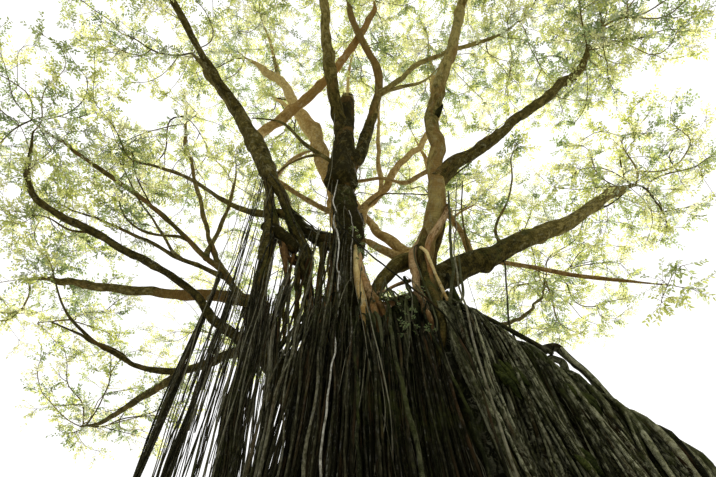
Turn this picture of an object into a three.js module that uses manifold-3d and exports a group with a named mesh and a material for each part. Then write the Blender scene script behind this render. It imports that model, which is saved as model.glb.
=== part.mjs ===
// White fig tree (a strangler fig, Ficus virens): one rooted tree with a fused root trunk,
// a wall of roots that runs down from the fork to one side, hanging root curtains,
// tapering stems and boughs, and an umbrella crown of separate foliage masses.
//
// Frame: +Z up, origin on the flat cut at ground level under the trunk,
// X across the root wall (the wall runs out to +X), Y from the front of the tree to its back.
//
// Every size below is in metres of the living tree, which stands 50 m high.
// SCALE brings it evenly to 40 m, and MM turns it into millimetres.

import * as THREE from 'three';
import { mergeVertices } from 'three/addons/utils/BufferGeometryUtils.js';
import Module from 'manifold-3d';

const wasm = await Module();
wasm.setup();
const { Manifold, Mesh: SolidMesh } = wasm;

// ---------------------------------------------------------------- driving dimensions
const HEIGHT = 50.0;            // the living tree, ground to top
const MODEL_HEIGHT = 40.0;      // the height it is built at
const SCALE = MODEL_HEIGHT / HEIGHT;
const MM = 1000 * SCALE;        // living metres to model millimetres
const CLEAR = 0.0012;           // gap left between neighbouring solids (about 1 mm)

const LIMB_SIDES = 6;
const LIMB_STEPS = 6;

// fused root trunk, from the flat cut to the fork
const TRUNK = {
  height: 15.9, sides: 20, rings: 8,
  topCentre: [0.55, 0.45], topHalf: [2.75, 2.35],
  footCentre: [0.95, 0.15], footHalf: [4.35, 4.0],
  flareFrom: 0.42, flarePower: 2.1,      // the foot spreads below this part of the height
  flutes: 7, fluteDepth: 0.08, fluteTwist: 0.5,
};

// wall of roots that comes down from the fork to the right at about 45 degrees
const WALL = {
  from: 3.0, reach: 9.6, height: 13.9, bow: 1.2, fall: 0.65,   // ridge line of the wall
  lowest: 0.9,
  top: [2.6, 5.75, 9.0, 12.5],              // where its three bays part along the ridge
  foot: [4.0, 7.75, 10.5, 13.0],            // and along the ground
  halfTop: [1.7, 1.25, 0.85],               // half thickness of each bay at the ridge
  halfFoot: [3.1, 2.5, 1.8],                // and at the ground
  gap: 0.03, sides: 12, rings: 5,
};

// root curtains: upright sheets and bundles of roots that hang clear of the trunk
const CURTAINS = [
  { name: 'root_curtain_left',        top: [-2.95, 0.15, 17.2], foot: [-3.75, -0.35], half: [1.0, 0.75],  footHalf: [1.45, 1.15], sides: 12, rings: 6 },
  { name: 'root_curtain_front',       top: [0.3, -2.3, 15.2],   foot: [0.2, -4.85],   half: [2.0, 0.18],  footHalf: [2.9, 0.35], sides: 14, rings: 6 },
  { name: 'hanging_roots_left',      top: [-6.35, 2.3, 19.0],  foot: [-7.05, 1.6],   half: [0.16, 0.14], footHalf: [0.24, 0.2], sides: 7, rings: 4 },
];

// Stems and boughs. Each is one tapering limb: where its axis starts, the way it sets off
// (az from +X towards +Y, pitch above level, degrees), its length, how far it turns and
// lifts along the way, the swing it makes to and fro, and its two diameters.
// sink runs it back into the limb or trunk that bears it, as a share of its length, and
// reach carries it on, straight, into the foliage at its end, in metres.
const LIMBS = [
  // stems on the fork
  { name: 'stem_rear_left',      base: [-1.3, 2.1, 9.0],      az: 160.0, pitch: 67.0, length: 9.2,   turn: 0, lift: 4, sway: 0, wave: 0, d0: 1.7, d1: 0.95, sink: 0, reach: 0 },
  { name: 'stem_centre',         base: [-0.31, 0.2, 16.3],    az: -119.8, pitch: 80.9, length: 7.88, turn: 2.3, lift: 4.9, sway: -0.3, wave: 0.3, d0: 1.15, d1: 0.92, sink: 0.14, reach: 0 },
  { name: 'stem_left',           base: [-2.28, 0.3, 16.53],   az: -142.5, pitch: 67.6, length: 18.24, turn: -33.7, lift: -6.2, sway: -2.3, wave: 2.3, d0: 1.12, d1: 0.45, sink: 0.09, reach: 3.0 },
  { name: 'stem_tan',            base: [-0.67, 1.8, 18.83],   az: -148.3, pitch: 90.1, length: 22.28, turn: -21.4, lift: -40.4, sway: 2.2, wave: -3.4, d0: 0.95, d1: 0.5, sink: 0.17, reach: 1.2 },
  { name: 'stem_right',          base: [2.45, 0.2, 16.53],    az: -56.0, pitch: 63.4, length: 18.95, turn: -3.8, lift: 8.6, sway: -8.2, wave: 6.6, d0: 0.84, d1: 0.48, sink: 0.09, reach: 3.0 },
  { name: 'bough_right',         base: [2.88, 0.0, 15.33],    az: -3.6, pitch: 40.4, length: 14.7, turn: 21.4, lift: -3.7, sway: 3.6, wave: -6.9, d0: 0.92, d1: 0.44, sink: 0.08, reach: 1.5 },
  // borne by the stems
  { name: 'stem_centre_left',    base: [-0.75, -0.6, 24.12],  az: -114.6, pitch: 88.8, length: 12.63, turn: 12.9, lift: -48.4, sway: -1.2, wave: -9.5, d0: 0.85, d1: 0.42, sink: 0, reach: 3.0 },
  { name: 'stem_centre_right',   base: [-0.67, -0.45, 22.16], az: -17.7, pitch: 69.1, length: 17.53, turn: -91.4, lift: 1.1, sway: 44.0, wave: 11.4, d0: 0.72, d1: 0.36, sink: 0, reach: 3.0 },
  { name: 'bough_back_left_low', base: [-4.76, -1.07, 23.58], az: 106.2, pitch: 68.7, length: 5.18, turn: 49.5, lift: 7.4, sway: -20.2, wave: -3.4, d0: 0.62, d1: 0.56, sink: 0, reach: 0 },
  { name: 'bough_back_left',     base: [-5.55, 0.09, 28.49],  az: -27.5, pitch: 30.1, length: 15.14, turn: -12.1, lift: 53.9, sway: 6.6, wave: 9.7, d0: 0.62, d1: 0.4, sink: 0, reach: 1.0 },
  { name: 'bough_right_up',      base: [3.46, -1.39, 21.58],  az: -3.0, pitch: 25.7, length: 13.24, turn: -17.6, lift: 34.8, sway: -2.6, wave: 9.5, d0: 0.6, d1: 0.4, sink: 0, reach: 3.0 },
  { name: 'bough_high_right',    base: [1.21, -1.84, 32.66],  az: 20.8, pitch: 35.8, length: 13.12, turn: -57.5, lift: -3.7, sway: -12.3, wave: 9.9, d0: 0.36, d1: 0.24, sink: 0, reach: 0 },
  { name: 'bough_back_mid',      base: [-0.49, -0.12, 18.9],  az: 91.2, pitch: 56.1, length: 16.06, turn: -177.8, lift: 18.1, sway: -44.9, wave: 5.1, d0: 0.5, d1: 0.3, sink: 0, reach: 7.5 },
  { name: 'bough_cross_tan',     base: [2.43, 0.05, 17.2],    az: 132.8, pitch: 52.8, length: 26.6, turn: -19.2, lift: 70.2, sway: 26.0, wave: 2.6, d0: 0.36, d1: 0.22, sink: 0, reach: 1.0 },
  // borne by the stem behind the left curtain
  { name: 'bough_left_low',      base: [-3.6, 2.2, 14.03],    az: 178.6, pitch: 32.8, length: 15.1, turn: 14.7, lift: 2.2, sway: -1.0, wave: 11.4, d0: 0.62, d1: 0.4, sink: 0, reach: 0 },
  { name: 'bough_left_low_end',  base: [-15.91, 0.83, 22.37], az: -148.1, pitch: 49.1, length: 4.5, turn: 3.1, lift: 24.3, sway: 0.9, wave: 4.9, d0: 0.4, d1: 0.24, sink: 0, reach: 1.0 },
  { name: 'bough_left_back',     base: [-4.12, 2.6, 17.11],   az: 171.5, pitch: 17.4, length: 13.7, turn: -6.0, lift: 2.0, sway: -0.5, wave: -1.7, d0: 0.6, d1: 0.3, sink: 0, reach: 1.0 },
  { name: 'bough_left_up',       base: [-3.93, 2.4, 15.97],   az: 173.9, pitch: 52.5, length: 20.69, turn: 31.4, lift: -23.8, sway: 5.0, wave: 0.5, d0: 0.5, d1: 0.26, sink: 0, reach: 0 },
  { name: 'bough_left_rear',     base: [-4.11, 3.4, 15.36],   az: 148.5, pitch: 11.2, length: 11.74, turn: 28.5, lift: 14.6, sway: -9.3, wave: -7.5, d0: 0.46, d1: 0.26, sink: 0, reach: 2.0 },
  { name: 'bough_left_rear_low', base: [-8.19, 5.98, 16.11],  az: 124.7, pitch: 3.5, length: 10.36, turn: 18.3, lift: 14.4, sway: 6.4, wave: 2.8, d0: 0.34, d1: 0.22, sink: 0, reach: 1.5 },
  { name: 'bough_left_fork',     base: [-6.11, 2.44, 18.64],  az: 168.0, pitch: 60.3, length: 16.73, turn: 35.5, lift: 14.5, sway: -21.1, wave: 4.3, d0: 0.32, d1: 0.2, sink: 0, reach: 2.5 },
  // round the sides that face away
  { name: 'bough_rear_right', base: [2.6, 1.9, 14.9], az: 45.8, pitch: 25.6, length: 19.6, turn: -12.2, lift: 35.7, sway: -5.5, wave: 0.8, d0: 0.52, d1: 0.26, sink: 0.06, reach: 0.4 },
  { name: 'bough_rear',          base: [0.9, 2.4, 14.9],      az: 82.0, pitch: 40.0, length: 20.5, turn: -9, lift: 8, sway: -6, wave: 4, d0: 0.85, d1: 0.34, sink: 0.06, reach: 1.0 },
  { name: 'bough_rear_left',     base: [-3.0, 2.7, 12.8],     az: 104.0, pitch: 42.0, length: 20.5, turn: 12, lift: 2, sway: 5, wave: 5, d0: 0.7, d1: 0.32, sink: 0.02, reach: 0.8 },
  { name: 'bough_rear_high', base: [-0.2, 2.5, 15.0], az: 99.3, pitch: 77.2, length: 25.5, turn: -6.0, lift: -15.9, sway: 0.6, wave: -3.9, d0: 0.62, d1: 0.28, sink: 0.05, reach: 0.4 },
  { name: 'bough_rear_right_high', base: [3.4, 2.6, 15.6], az: 87.5, pitch: 82.6, length: 22.3, turn: -41.3, lift: -29.1, sway: -7.2, wave: -5.4, d0: 0.42, d1: 0.24, sink: 0, reach: 0.4 },
  { name: 'bough_rear_left_high', base: [-2.1, 5.3, 16.9], az: 122.8, pitch: 62.9, length: 19.1, turn: -38.3, lift: 3.4, sway: -12.2, wave: 4.6, d0: 0.4, d1: 0.24, sink: 0, reach: 0.4 },
  { name: 'bough_front',         base: [-2.2, -5.2, 34.75],   az: -96.8, pitch: 1.5, length: 7.39, turn: -6.1, lift: -12.9, sway: 0.7, wave: 1.4, d0: 0.36, d1: 0.24, sink: 0, reach: 0.6 },
  { name: 'bough_front_left',    base: [-6.9, -2.5, 27.6],    az: -128.0, pitch: 24.0, length: 11.5, turn: 8, lift: 12, sway: 4, wave: -4, d0: 0.42, d1: 0.26, sink: 0, reach: 0.5 },
  { name: 'bough_front_right',   base: [6.2, -5.75, 33.5],    az: -75.1, pitch: 13.5, length: 7.41, turn: -6.2, lift: -23.8, sway: 0.6, wave: 2.3, d0: 0.4, d1: 0.24, sink: 0, reach: 0.6 },
];

// Foliage masses: centre, half sizes across, deep and high, and the seed of their lumps.
// Each level of the crown is one ring or cluster of them.
const MASSES = [
  // top of the crown
  { name: 'foliage_top_centre',       at: [0.4, 0.6, 45.6],    half: [6.2, 5.8, 4.6], seed: 1 },
  { name: 'foliage_top_right',        at: [8.2, 1.0, 42.0],    half: [5.4, 5.6, 4.0], seed: 2 },
  { name: 'foliage_top_left',         at: [-8.8, 0.6, 41.8],   half: [5.4, 5.4, 4.0], seed: 3 },
  { name: 'foliage_top_rear',         at: [0.6, 10.0, 40.8],   half: [6.2, 5.2, 4.0], seed: 4 },
  { name: 'foliage_top_front',        at: [1.2, -7.6, 42.0],   half: [5.8, 4.6, 3.7], seed: 5 },
  // shoulder of the crown
  { name: 'foliage_front_centre',     at: [-5.6, -9.0, 37.6],  half: [5.6, 5.0, 3.7], seed: 6 },
  { name: 'foliage_front_right',      at: [8.0, -8.8, 37.2],   half: [5.4, 5.0, 3.6], seed: 7 },
  { name: 'foliage_right_high',       at: [14.2, -1.6, 37.2],  half: [5.0, 5.2, 3.7], seed: 8 },
  { name: 'foliage_right_rear_high',  at: [9.4, 10.6, 35.4],   half: [6.6, 5.6, 3.9], seed: 9 },
  { name: 'foliage_rear_left_high',   at: [-4.6, 15.3, 34.2],  half: [7.2, 5.4, 3.9], seed: 11 },
  { name: 'foliage_left_rear_high',   at: [-13.0, 7.0, 34.2],  half: [6.0, 6.4, 4.2], seed: 12 },
  { name: 'foliage_left_high',        at: [-13.6, -4.6, 35.4], half: [5.2, 5.2, 3.6], seed: 13 },
  // outer rim
  { name: 'foliage_right_low',        at: [16.2, 2.8, 27.4],   half: [5.7, 5.6, 4.0], seed: 14 },
  { name: 'foliage_right_mid',        at: [16.0, -7.0, 31.6],  half: [5.2, 4.8, 3.5], seed: 15 },
  { name: 'foliage_front_right_low',  at: [7.8, -15.6, 33.2],  half: [5.4, 4.4, 3.4], seed: 16 },
  { name: 'foliage_front_left_low',   at: [-4.2, -16.0, 33.4], half: [5.6, 4.4, 3.4], seed: 17 },
  { name: 'foliage_left_front',       at: [-13.4, -12.0, 31.8], half: [5.5, 5.0, 3.5], seed: 18 },
  { name: 'foliage_left_mid',         at: [-18.4, -0.6, 29.2], half: [5.0, 5.6, 4.0], seed: 19 },
  { name: 'foliage_left_low',         at: [-17.6, 7.0, 22.6],  half: [5.2, 4.9, 3.6], seed: 20 },
  { name: 'foliage_left_rear_low',    at: [-15.6, 15.0, 20.8], half: [5.5, 4.9, 3.8], seed: 21 },
  { name: 'foliage_rear_left_low',    at: [-9.4, 16.4, 28.6],  half: [7.2, 5.8, 4.2], seed: 22 },
  { name: 'foliage_rear_right_low',   at: [4.2, 19.2, 29.4],   half: [6.0, 5.0, 3.9], seed: 23 },
  { name: 'foliage_right_rear_low',   at: [14.4, 13.0, 28.0],  half: [5.8, 5.4, 4.0], seed: 24 },
];

const COLOURS = {
  root: 0x6b6152, wall: 0x5d5648, hanging: 0x7a705f, stem: 0x6e6350, tan: 0xa57a4c, leaf: 0x7f9a35,
};

// ---------------------------------------------------------------- helpers
const RAD = Math.PI / 180;
const TAU = Math.PI * 2;
const lerp = (a, b, t) => a + (b - a) * t;
const smooth = (t) => t * t * (3 - 2 * t);

// closed mesh from rings of points: side quads, and a flat fan over each end ring
function skin(rings) {
  const sides = rings[0].length;
  const pos = [];
  const tri = (a, b, c) => pos.push(...a, ...b, ...c);
  for (let k = 0; k < rings.length - 1; k++) {
    for (let i = 0; i < sides; i++) {
      const j = (i + 1) % sides;
      tri(rings[k][i], rings[k][j], rings[k + 1][j]);
      tri(rings[k][i], rings[k + 1][j], rings[k + 1][i]);
    }
  }
  for (const [ring, turned] of [[rings[0], true], [rings[rings.length - 1], false]]) {
    const mid = [0, 1, 2].map((a) => ring.reduce((s, p) => s + p[a], 0) / sides);
    for (let i = 0; i < sides; i++) {
      const j = (i + 1) % sides;
      if (turned) tri(mid, ring[j], ring[i]); else tri(mid, ring[i], ring[j]);
    }
  }
  const geometry = new THREE.BufferGeometry();
  geometry.setAttribute('position', new THREE.Float32BufferAttribute(pos.map((v) => v * MM), 3));
  return geometry;
}

function toSolid(geometry) {
  const bare = geometry.clone();
  bare.deleteAttribute('normal');
  bare.deleteAttribute('uv');
  const merged = mergeVertices(bare, 1e-3);
  return new Manifold(new SolidMesh({
    numProp: 3,
    vertProperties: new Float32Array(merged.attributes.position.array),
    triVerts: new Uint32Array(merged.index.array),
  }));
}

function toGeometry(solid) {
  const mesh = solid.getMesh();
  const geometry = new THREE.BufferGeometry();
  geometry.setAttribute('position', new THREE.BufferAttribute(new Float32Array(mesh.vertProperties), 3));
  geometry.setIndex(new THREE.BufferAttribute(new Uint32Array(mesh.triVerts), 1));
  geometry.computeVertexNormals();
  return geometry;
}

// the one connected piece that holds a point, or the largest when none does
function pieceNear(solid, point) {
  const parts = solid.decompose();
  if (parts.length === 1) return parts[0];
  let best = null;
  for (const part of parts) {
    if (part.volume() < 1e3) continue;
    const mesh = part.getMesh();
    let d = Infinity;
    for (let i = 0; i < mesh.vertProperties.length; i += 3) {
      d = Math.min(d, Math.hypot(
        mesh.vertProperties[i] - point[0] * MM,
        mesh.vertProperties[i + 1] - point[1] * MM,
        mesh.vertProperties[i + 2] - point[2] * MM));
    }
    if (!best || d < best.d) best = { d, part };
  }
  return best.part;
}

// ---------------------------------------------------------------- trunk
// plan outline of the trunk at height z: an oval that spreads into a fluted foot
function trunkPoint(angle, z, grow = 0) {
  const h = z / TRUNK.height;
  const spread = Math.pow(Math.max(0, 1 - h / (1 - TRUNK.flareFrom * 0.4)), TRUNK.flarePower);
  const cx = lerp(TRUNK.topCentre[0], TRUNK.footCentre[0], spread);
  const cy = lerp(TRUNK.topCentre[1], TRUNK.footCentre[1], spread);
  const rx = lerp(TRUNK.topHalf[0], TRUNK.footHalf[0], spread);
  const ry = lerp(TRUNK.topHalf[1], TRUNK.footHalf[1], spread);
  const depth = TRUNK.fluteDepth * (0.35 + 0.65 * spread);
  const f = 1 + depth * Math.sin(TRUNK.flutes * angle + TRUNK.fluteTwist * h * 4)
              + 0.5 * depth * Math.sin(3 * angle + 1.3 - h * 2);
  return [cx + (rx * f + grow) * Math.cos(angle), cy + (ry * f + grow) * Math.sin(angle), z];
}

function trunkGeometry(grow = 0) {
  const rings = [];
  for (let k = 0; k <= TRUNK.rings; k++) {
    const z = TRUNK.height * Math.pow(k / TRUNK.rings, 1.25);
    const ring = [];
    for (let i = 0; i < TRUNK.sides; i++) ring.push(trunkPoint((i / TRUNK.sides) * TAU, z, grow));
    rings.push(ring);
  }
  if (grow) {
    rings[0] = rings[0].map((p) => [p[0], p[1], -grow]);
    rings[TRUNK.rings] = rings[TRUNK.rings].map((p) => [p[0], p[1], TRUNK.height + grow]);
  }
  return skin(rings);
}

// ---------------------------------------------------------------- root wall
function ridge(x) {
  const t = Math.min(1, Math.max(0, (x - WALL.from) / WALL.reach));
  return Math.max(WALL.lowest, WALL.height * Math.pow(1 - Math.pow(t, WALL.bow), WALL.fall));
}

// one bay of the wall: its section leans out and thickens from the ridge to the ground
function wallGeometry(bay, grow = 0) {
  const { sides, rings: count, gap } = WALL;
  const rings = [];
  for (let k = 0; k <= count; k++) {
    const h = k / count;
    const ring = [];
    for (let i = 0; i < sides; i++) {
      const a = (i / sides) * TAU;
      const c = Math.cos(a), s = Math.sin(a);
      const u = Math.sign(c) * Math.pow(Math.abs(c), 0.55);      // a rounded box in plan
      const v = Math.sign(s) * Math.pow(Math.abs(s), 0.75);
      const topX = lerp(WALL.top[bay] + gap, WALL.top[bay + 1] - gap, (u + 1) / 2);
      const footX = lerp(WALL.foot[bay] + gap, WALL.foot[bay + 1] - gap, (u + 1) / 2);
      const half = lerp(WALL.halfFoot[bay], WALL.halfTop[bay], Math.pow(h, 0.7));
      const lump = 1 + 0.05 * Math.sin(5 * a + bay * 1.7 + 3 * h);
      rings[k] = ring;
      ring.push([lerp(footX, topX, h) + grow * c, 0.1 + half * v * lump + grow * s, ridge(topX) * h]);
    }
  }
  if (grow) rings[0] = rings[0].map((p) => [p[0], p[1], -grow]);
  return skin(rings);
}

// ---------------------------------------------------------------- hanging curtains
function curtainGeometry(c, grow = 0) {
  const rings = [];
  for (let k = 0; k <= c.rings; k++) {
    const h = k / c.rings;
    const spread = Math.pow(1 - h, 1.5);
    const cx = lerp(c.top[0], c.foot[0], spread), cy = lerp(c.top[1], c.foot[1], spread);
    const rx = lerp(c.half[0], c.footHalf[0], spread), ry = lerp(c.half[1], c.footHalf[1], spread);
    const ring = [];
    for (let i = 0; i < c.sides; i++) {
      const a = (i / c.sides) * TAU;
      const co = Math.cos(a), si = Math.sin(a);
      const lump = 1 + 0.05 * Math.sin(4 * a + 5 * h);
      ring.push([cx + (rx * lump + grow) * co, cy + (ry * lump + grow) * si, c.top[2] * h]);
    }
    rings.push(ring);
  }
  if (grow) rings[0] = rings[0].map((p) => [p[0], p[1], -grow]);
  return skin(rings);
}

// ---------------------------------------------------------------- limbs
// direction of a limb's axis at a share s of its length
function heading(l, s) {
  const a = (l.az + l.turn * s + l.sway * Math.sin(TAU * s)) * RAD;
  const p = (l.pitch + l.lift * s + l.wave * Math.sin(TAU * s)) * RAD;
  return new THREE.Vector3(Math.cos(p) * Math.cos(a), Math.cos(p) * Math.sin(a), Math.sin(p));
}

const AXIS_STEPS = 24;
function axis(l) {
  const points = [new THREE.Vector3(...l.base)];
  const step = (l.length + l.reach) / AXIS_STEPS;
  for (let i = 0; i < AXIS_STEPS; i++) {
    points.push(points[i].clone().addScaledVector(heading(l, Math.min(1, ((i + 0.5) * step) / l.length)), step));
  }
  return points;
}

function along(points, s) {
  const x = Math.min(Math.max(s, 0), 1) * AXIS_STEPS;
  const i = Math.min(AXIS_STEPS - 1, Math.floor(x));
  return points[i].clone().lerp(points[i + 1], x - i);
}

function limbGeometry(l, grow = 0) {
  const points = axis(l);
  const rings = [];
  let side = null;
  const first = l.sink > 0 ? -1 : 0;
  for (let k = first; k <= LIMB_STEPS; k++) {
    const s = Math.max(0, k) / LIMB_STEPS;
    const way = heading(l, Math.min(1, s * (1 + l.reach / l.length)));
    const centre = along(points, s);
    if (k < 0) centre.addScaledVector(way, -l.sink * l.length);
    if (!side) {
      side = new THREE.Vector3(0, 0, 1).cross(way);
      if (side.length() < 0.2) side = new THREE.Vector3(1, 0, 0);
    }
    side.addScaledVector(way, -side.dot(way)).normalize();
    const up = way.clone().cross(side);
    const collar = 1 + 0.22 * Math.exp(-Math.max(0, k) / LIMB_STEPS * 14);
    const r = (lerp(l.d0, l.d1, s) / 2) * collar + grow;
    if (grow && k === first) centre.addScaledVector(way, -grow);
    if (grow && k === LIMB_STEPS) centre.addScaledVector(way, grow);
    const ring = [];
    for (let i = 0; i < LIMB_SIDES; i++) {
      const a = (i / LIMB_SIDES) * TAU;
      const rr = r * (1 + 0.05 * Math.sin(2 * a + 7 * s + l.length));
      const p = centre.clone().addScaledVector(side, rr * Math.cos(a)).addScaledVector(up, rr * Math.sin(a));
      ring.push([p.x, p.y, p.z]);
    }
    rings.push(ring);
  }
  return skin(rings);
}

// ---------------------------------------------------------------- foliage masses
// a lumpy, flat-bottomed ball: three waves in fixed directions make its own shape
function massGeometry(m, grow = 0) {
  const ball = new THREE.IcosahedronGeometry(1, 2);
  ball.deleteAttribute('normal');
  ball.deleteAttribute('uv');
  const merged = mergeVertices(ball, 1e-4);
  const p = merged.attributes.position;
  const k = m.seed;
  for (let i = 0; i < p.count; i++) {
    const x = p.getX(i), y = p.getY(i), z = p.getZ(i);
    const f = 1
      + 0.10 * Math.sin(3.1 * x + 2.3 * y + 1.7 * k)
      + 0.08 * Math.sin(-2.6 * x + 4.1 * y + 1.9 * z + 2.9 * k)
      + 0.06 * Math.sin(4.7 * x + 1.3 * y - 3.7 * z + 4.3 * k);
    const low = z < 0 ? 0.62 : 1;
    p.setXYZ(i,
      (m.at[0] + (m.half[0] * f + grow) * x) * MM,
      (m.at[1] + (m.half[1] * f + grow) * y) * MM,
      (m.at[2] + (m.half[2] * f * low + grow) * z) * MM);
  }
  merged.computeBoundingBox();
  return merged;
}

// ---------------------------------------------------------------- build the solids
// the top mass is set so that the tree stands exactly its height
{
  const top = massGeometry(MASSES[0]).boundingBox.max.z / MM;
  MASSES[0].at[2] += HEIGHT - top;
}

const done = [];     // { name, solid, grown, colour }
function keep(name, solid, grown, colour) {
  done.push({ name, solid, grown, colour });
}
function touches(a, b) {
  const A = a.boundingBox(), B = b.boundingBox();
  return [0, 1, 2].every((i) => A.min[i] <= B.max[i] && B.min[i] <= A.max[i]);
}

// foliage first: limbs end where they enter a mass
const masses = [];
for (const m of MASSES) {
  let solid = toSolid(massGeometry(m));
  for (const other of masses) if (touches(solid, other.grown)) solid = solid.subtract(other.grown);
  solid = pieceNear(solid, m.at);
  masses.push({ name: m.name, solid, grown: toSolid(massGeometry(m, CLEAR)), colour: COLOURS.leaf });
}

// trunk, walls and curtains stand on the ground
keep('trunk', toSolid(trunkGeometry()), toSolid(trunkGeometry(CLEAR)), COLOURS.root);
for (let bay = 0; bay < WALL.top.length - 1; bay++) {
  let solid = toSolid(wallGeometry(bay));
  for (const other of done) if (touches(solid, other.grown)) solid = solid.subtract(other.grown);
  solid = pieceNear(solid, [WALL.foot[bay + 1], 0, 0]);
  keep(`root_wall_right_${bay + 1}`, solid, toSolid(wallGeometry(bay, CLEAR)), COLOURS.wall);
}

// limbs, each cut by what bears it and by the masses it ends in
function addLimb(l) {
  let solid = toSolid(limbGeometry(l));
  const points = axis(l);
  for (const other of done) if (touches(solid, other.grown)) solid = solid.subtract(other.grown);
  for (const other of masses) if (touches(solid, other.grown)) solid = solid.subtract(other.grown);
  const p = along(points, 0.22);
  solid = pieceNear(solid, [p.x, p.y, p.z]);
  keep(l.name, solid, toSolid(limbGeometry(l, CLEAR)), l.name.includes('tan') ? COLOURS.tan : COLOURS.stem);
}
for (const l of LIMBS) addLimb(l);

for (const c of CURTAINS) {
  let solid = toSolid(curtainGeometry(c));
  for (const other of done) if (touches(solid, other.grown)) solid = solid.subtract(other.grown);
  solid = pieceNear(solid, [c.foot[0], c.foot[1], 0]);
  keep(c.name, solid, toSolid(curtainGeometry(c, CLEAR)), COLOURS.hanging);
}

// ---------------------------------------------------------------- the tree
const tree = new THREE.Group();
for (const { name, solid, colour } of [...done, ...masses]) {
  const leafy = name.startsWith('foliage');
  const mesh = new THREE.Mesh(toGeometry(solid), new THREE.MeshStandardMaterial({
    color: colour, roughness: leafy ? 0.6 : 0.9, metalness: 0,
  }));
  mesh.name = name;
  tree.add(mesh);
}

export default tree;
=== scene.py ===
import math
import bpy
import numpy as np
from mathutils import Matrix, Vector


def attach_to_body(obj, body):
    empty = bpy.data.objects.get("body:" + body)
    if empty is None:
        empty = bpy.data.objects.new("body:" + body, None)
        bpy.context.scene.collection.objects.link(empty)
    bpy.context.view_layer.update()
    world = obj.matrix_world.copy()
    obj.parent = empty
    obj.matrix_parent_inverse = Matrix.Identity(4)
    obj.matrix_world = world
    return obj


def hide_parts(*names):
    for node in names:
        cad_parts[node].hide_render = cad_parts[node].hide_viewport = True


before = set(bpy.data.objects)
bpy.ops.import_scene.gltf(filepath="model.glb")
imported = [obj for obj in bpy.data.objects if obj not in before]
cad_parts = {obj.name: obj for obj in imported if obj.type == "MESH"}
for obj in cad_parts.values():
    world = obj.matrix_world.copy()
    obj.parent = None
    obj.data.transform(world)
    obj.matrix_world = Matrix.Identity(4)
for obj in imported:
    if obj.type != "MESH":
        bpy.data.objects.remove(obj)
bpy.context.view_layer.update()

K = 0.8                       # living metres to model metres (50 m tree built 40 m high)
TAU = 2 * math.pi
RAD = math.pi / 180
rng = np.random.RandomState(20415)
scene = bpy.context.scene

# ---------------------------------------------------------------- camera
# stands 12.5 m (living size) in front of the trunk, at eye height, pitched 53 degrees up
cam_data = bpy.data.cameras.new("camera")
cam_data.sensor_fit = 'HORIZONTAL'
cam_data.sensor_width = 36.0
cam_data.lens = 36.0 * 500.0 / 716.0
cam_data.clip_start = 0.05
cam_data.clip_end = 2000.0
cam = bpy.data.objects.new("camera", cam_data)
scene.collection.objects.link(cam)
CAM = np.array([0.0, -12.5, 1.6])          # living metres
cam.location = Vector(CAM * K)
cam.rotation_euler = (math.radians(90 + 53), 0, 0)
scene.camera = cam

# ---------------------------------------------------------------- noise
def _hash(ix, iy, iz, seed):
    h = (ix.astype(np.uint32) * np.uint32(374761393) + iy.astype(np.uint32) * np.uint32(668265263)
         + iz.astype(np.uint32) * np.uint32(2147483647) + np.uint32(seed) * np.uint32(1274126177))
    h = (h ^ (h >> np.uint32(13))) * np.uint32(1274126177)
    h = h ^ (h >> np.uint32(16))
    return (h & np.uint32(0xFFFFFF)).astype(np.float64) / float(0xFFFFFF)


def vnoise(p, seed=0):
    """smooth value noise, -1 to 1, at the points p (n, 3)"""
    with np.errstate(over='ignore'):
        p = np.asarray(p, float)
        i = np.floor(p).astype(np.int64)
        f = p - i
        f = f * f * (3 - 2 * f)
        i = i + 100000
        x, y, z = i[:, 0], i[:, 1], i[:, 2]
        out = 0.0
        for dx in (0, 1):
            wx = f[:, 0] if dx else 1 - f[:, 0]
            for dy in (0, 1):
                wy = f[:, 1] if dy else 1 - f[:, 1]
                for dz in (0, 1):
                    wz = f[:, 2] if dz else 1 - f[:, 2]
                    out = out + wx * wy * wz * _hash(x + dx, y + dy, z + dz, seed)
        return out * 2 - 1


def fbm(p, seed=0, octaves=3, gain=0.5):
    a, s, t = 1.0, 0.0, 0.0
    p = np.asarray(p, float)
    for o in range(octaves):
        s = s + a * vnoise(p * (2.03 ** o), seed + 17 * o)
        t += a
        a *= gain
    return s / t


def lerp(a, b, t):
    return a + (b - a) * t


def unit(v):
    v = np.asarray(v, float)
    return v / (np.linalg.norm(v, axis=-1, keepdims=True) + 1e-12)


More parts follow.
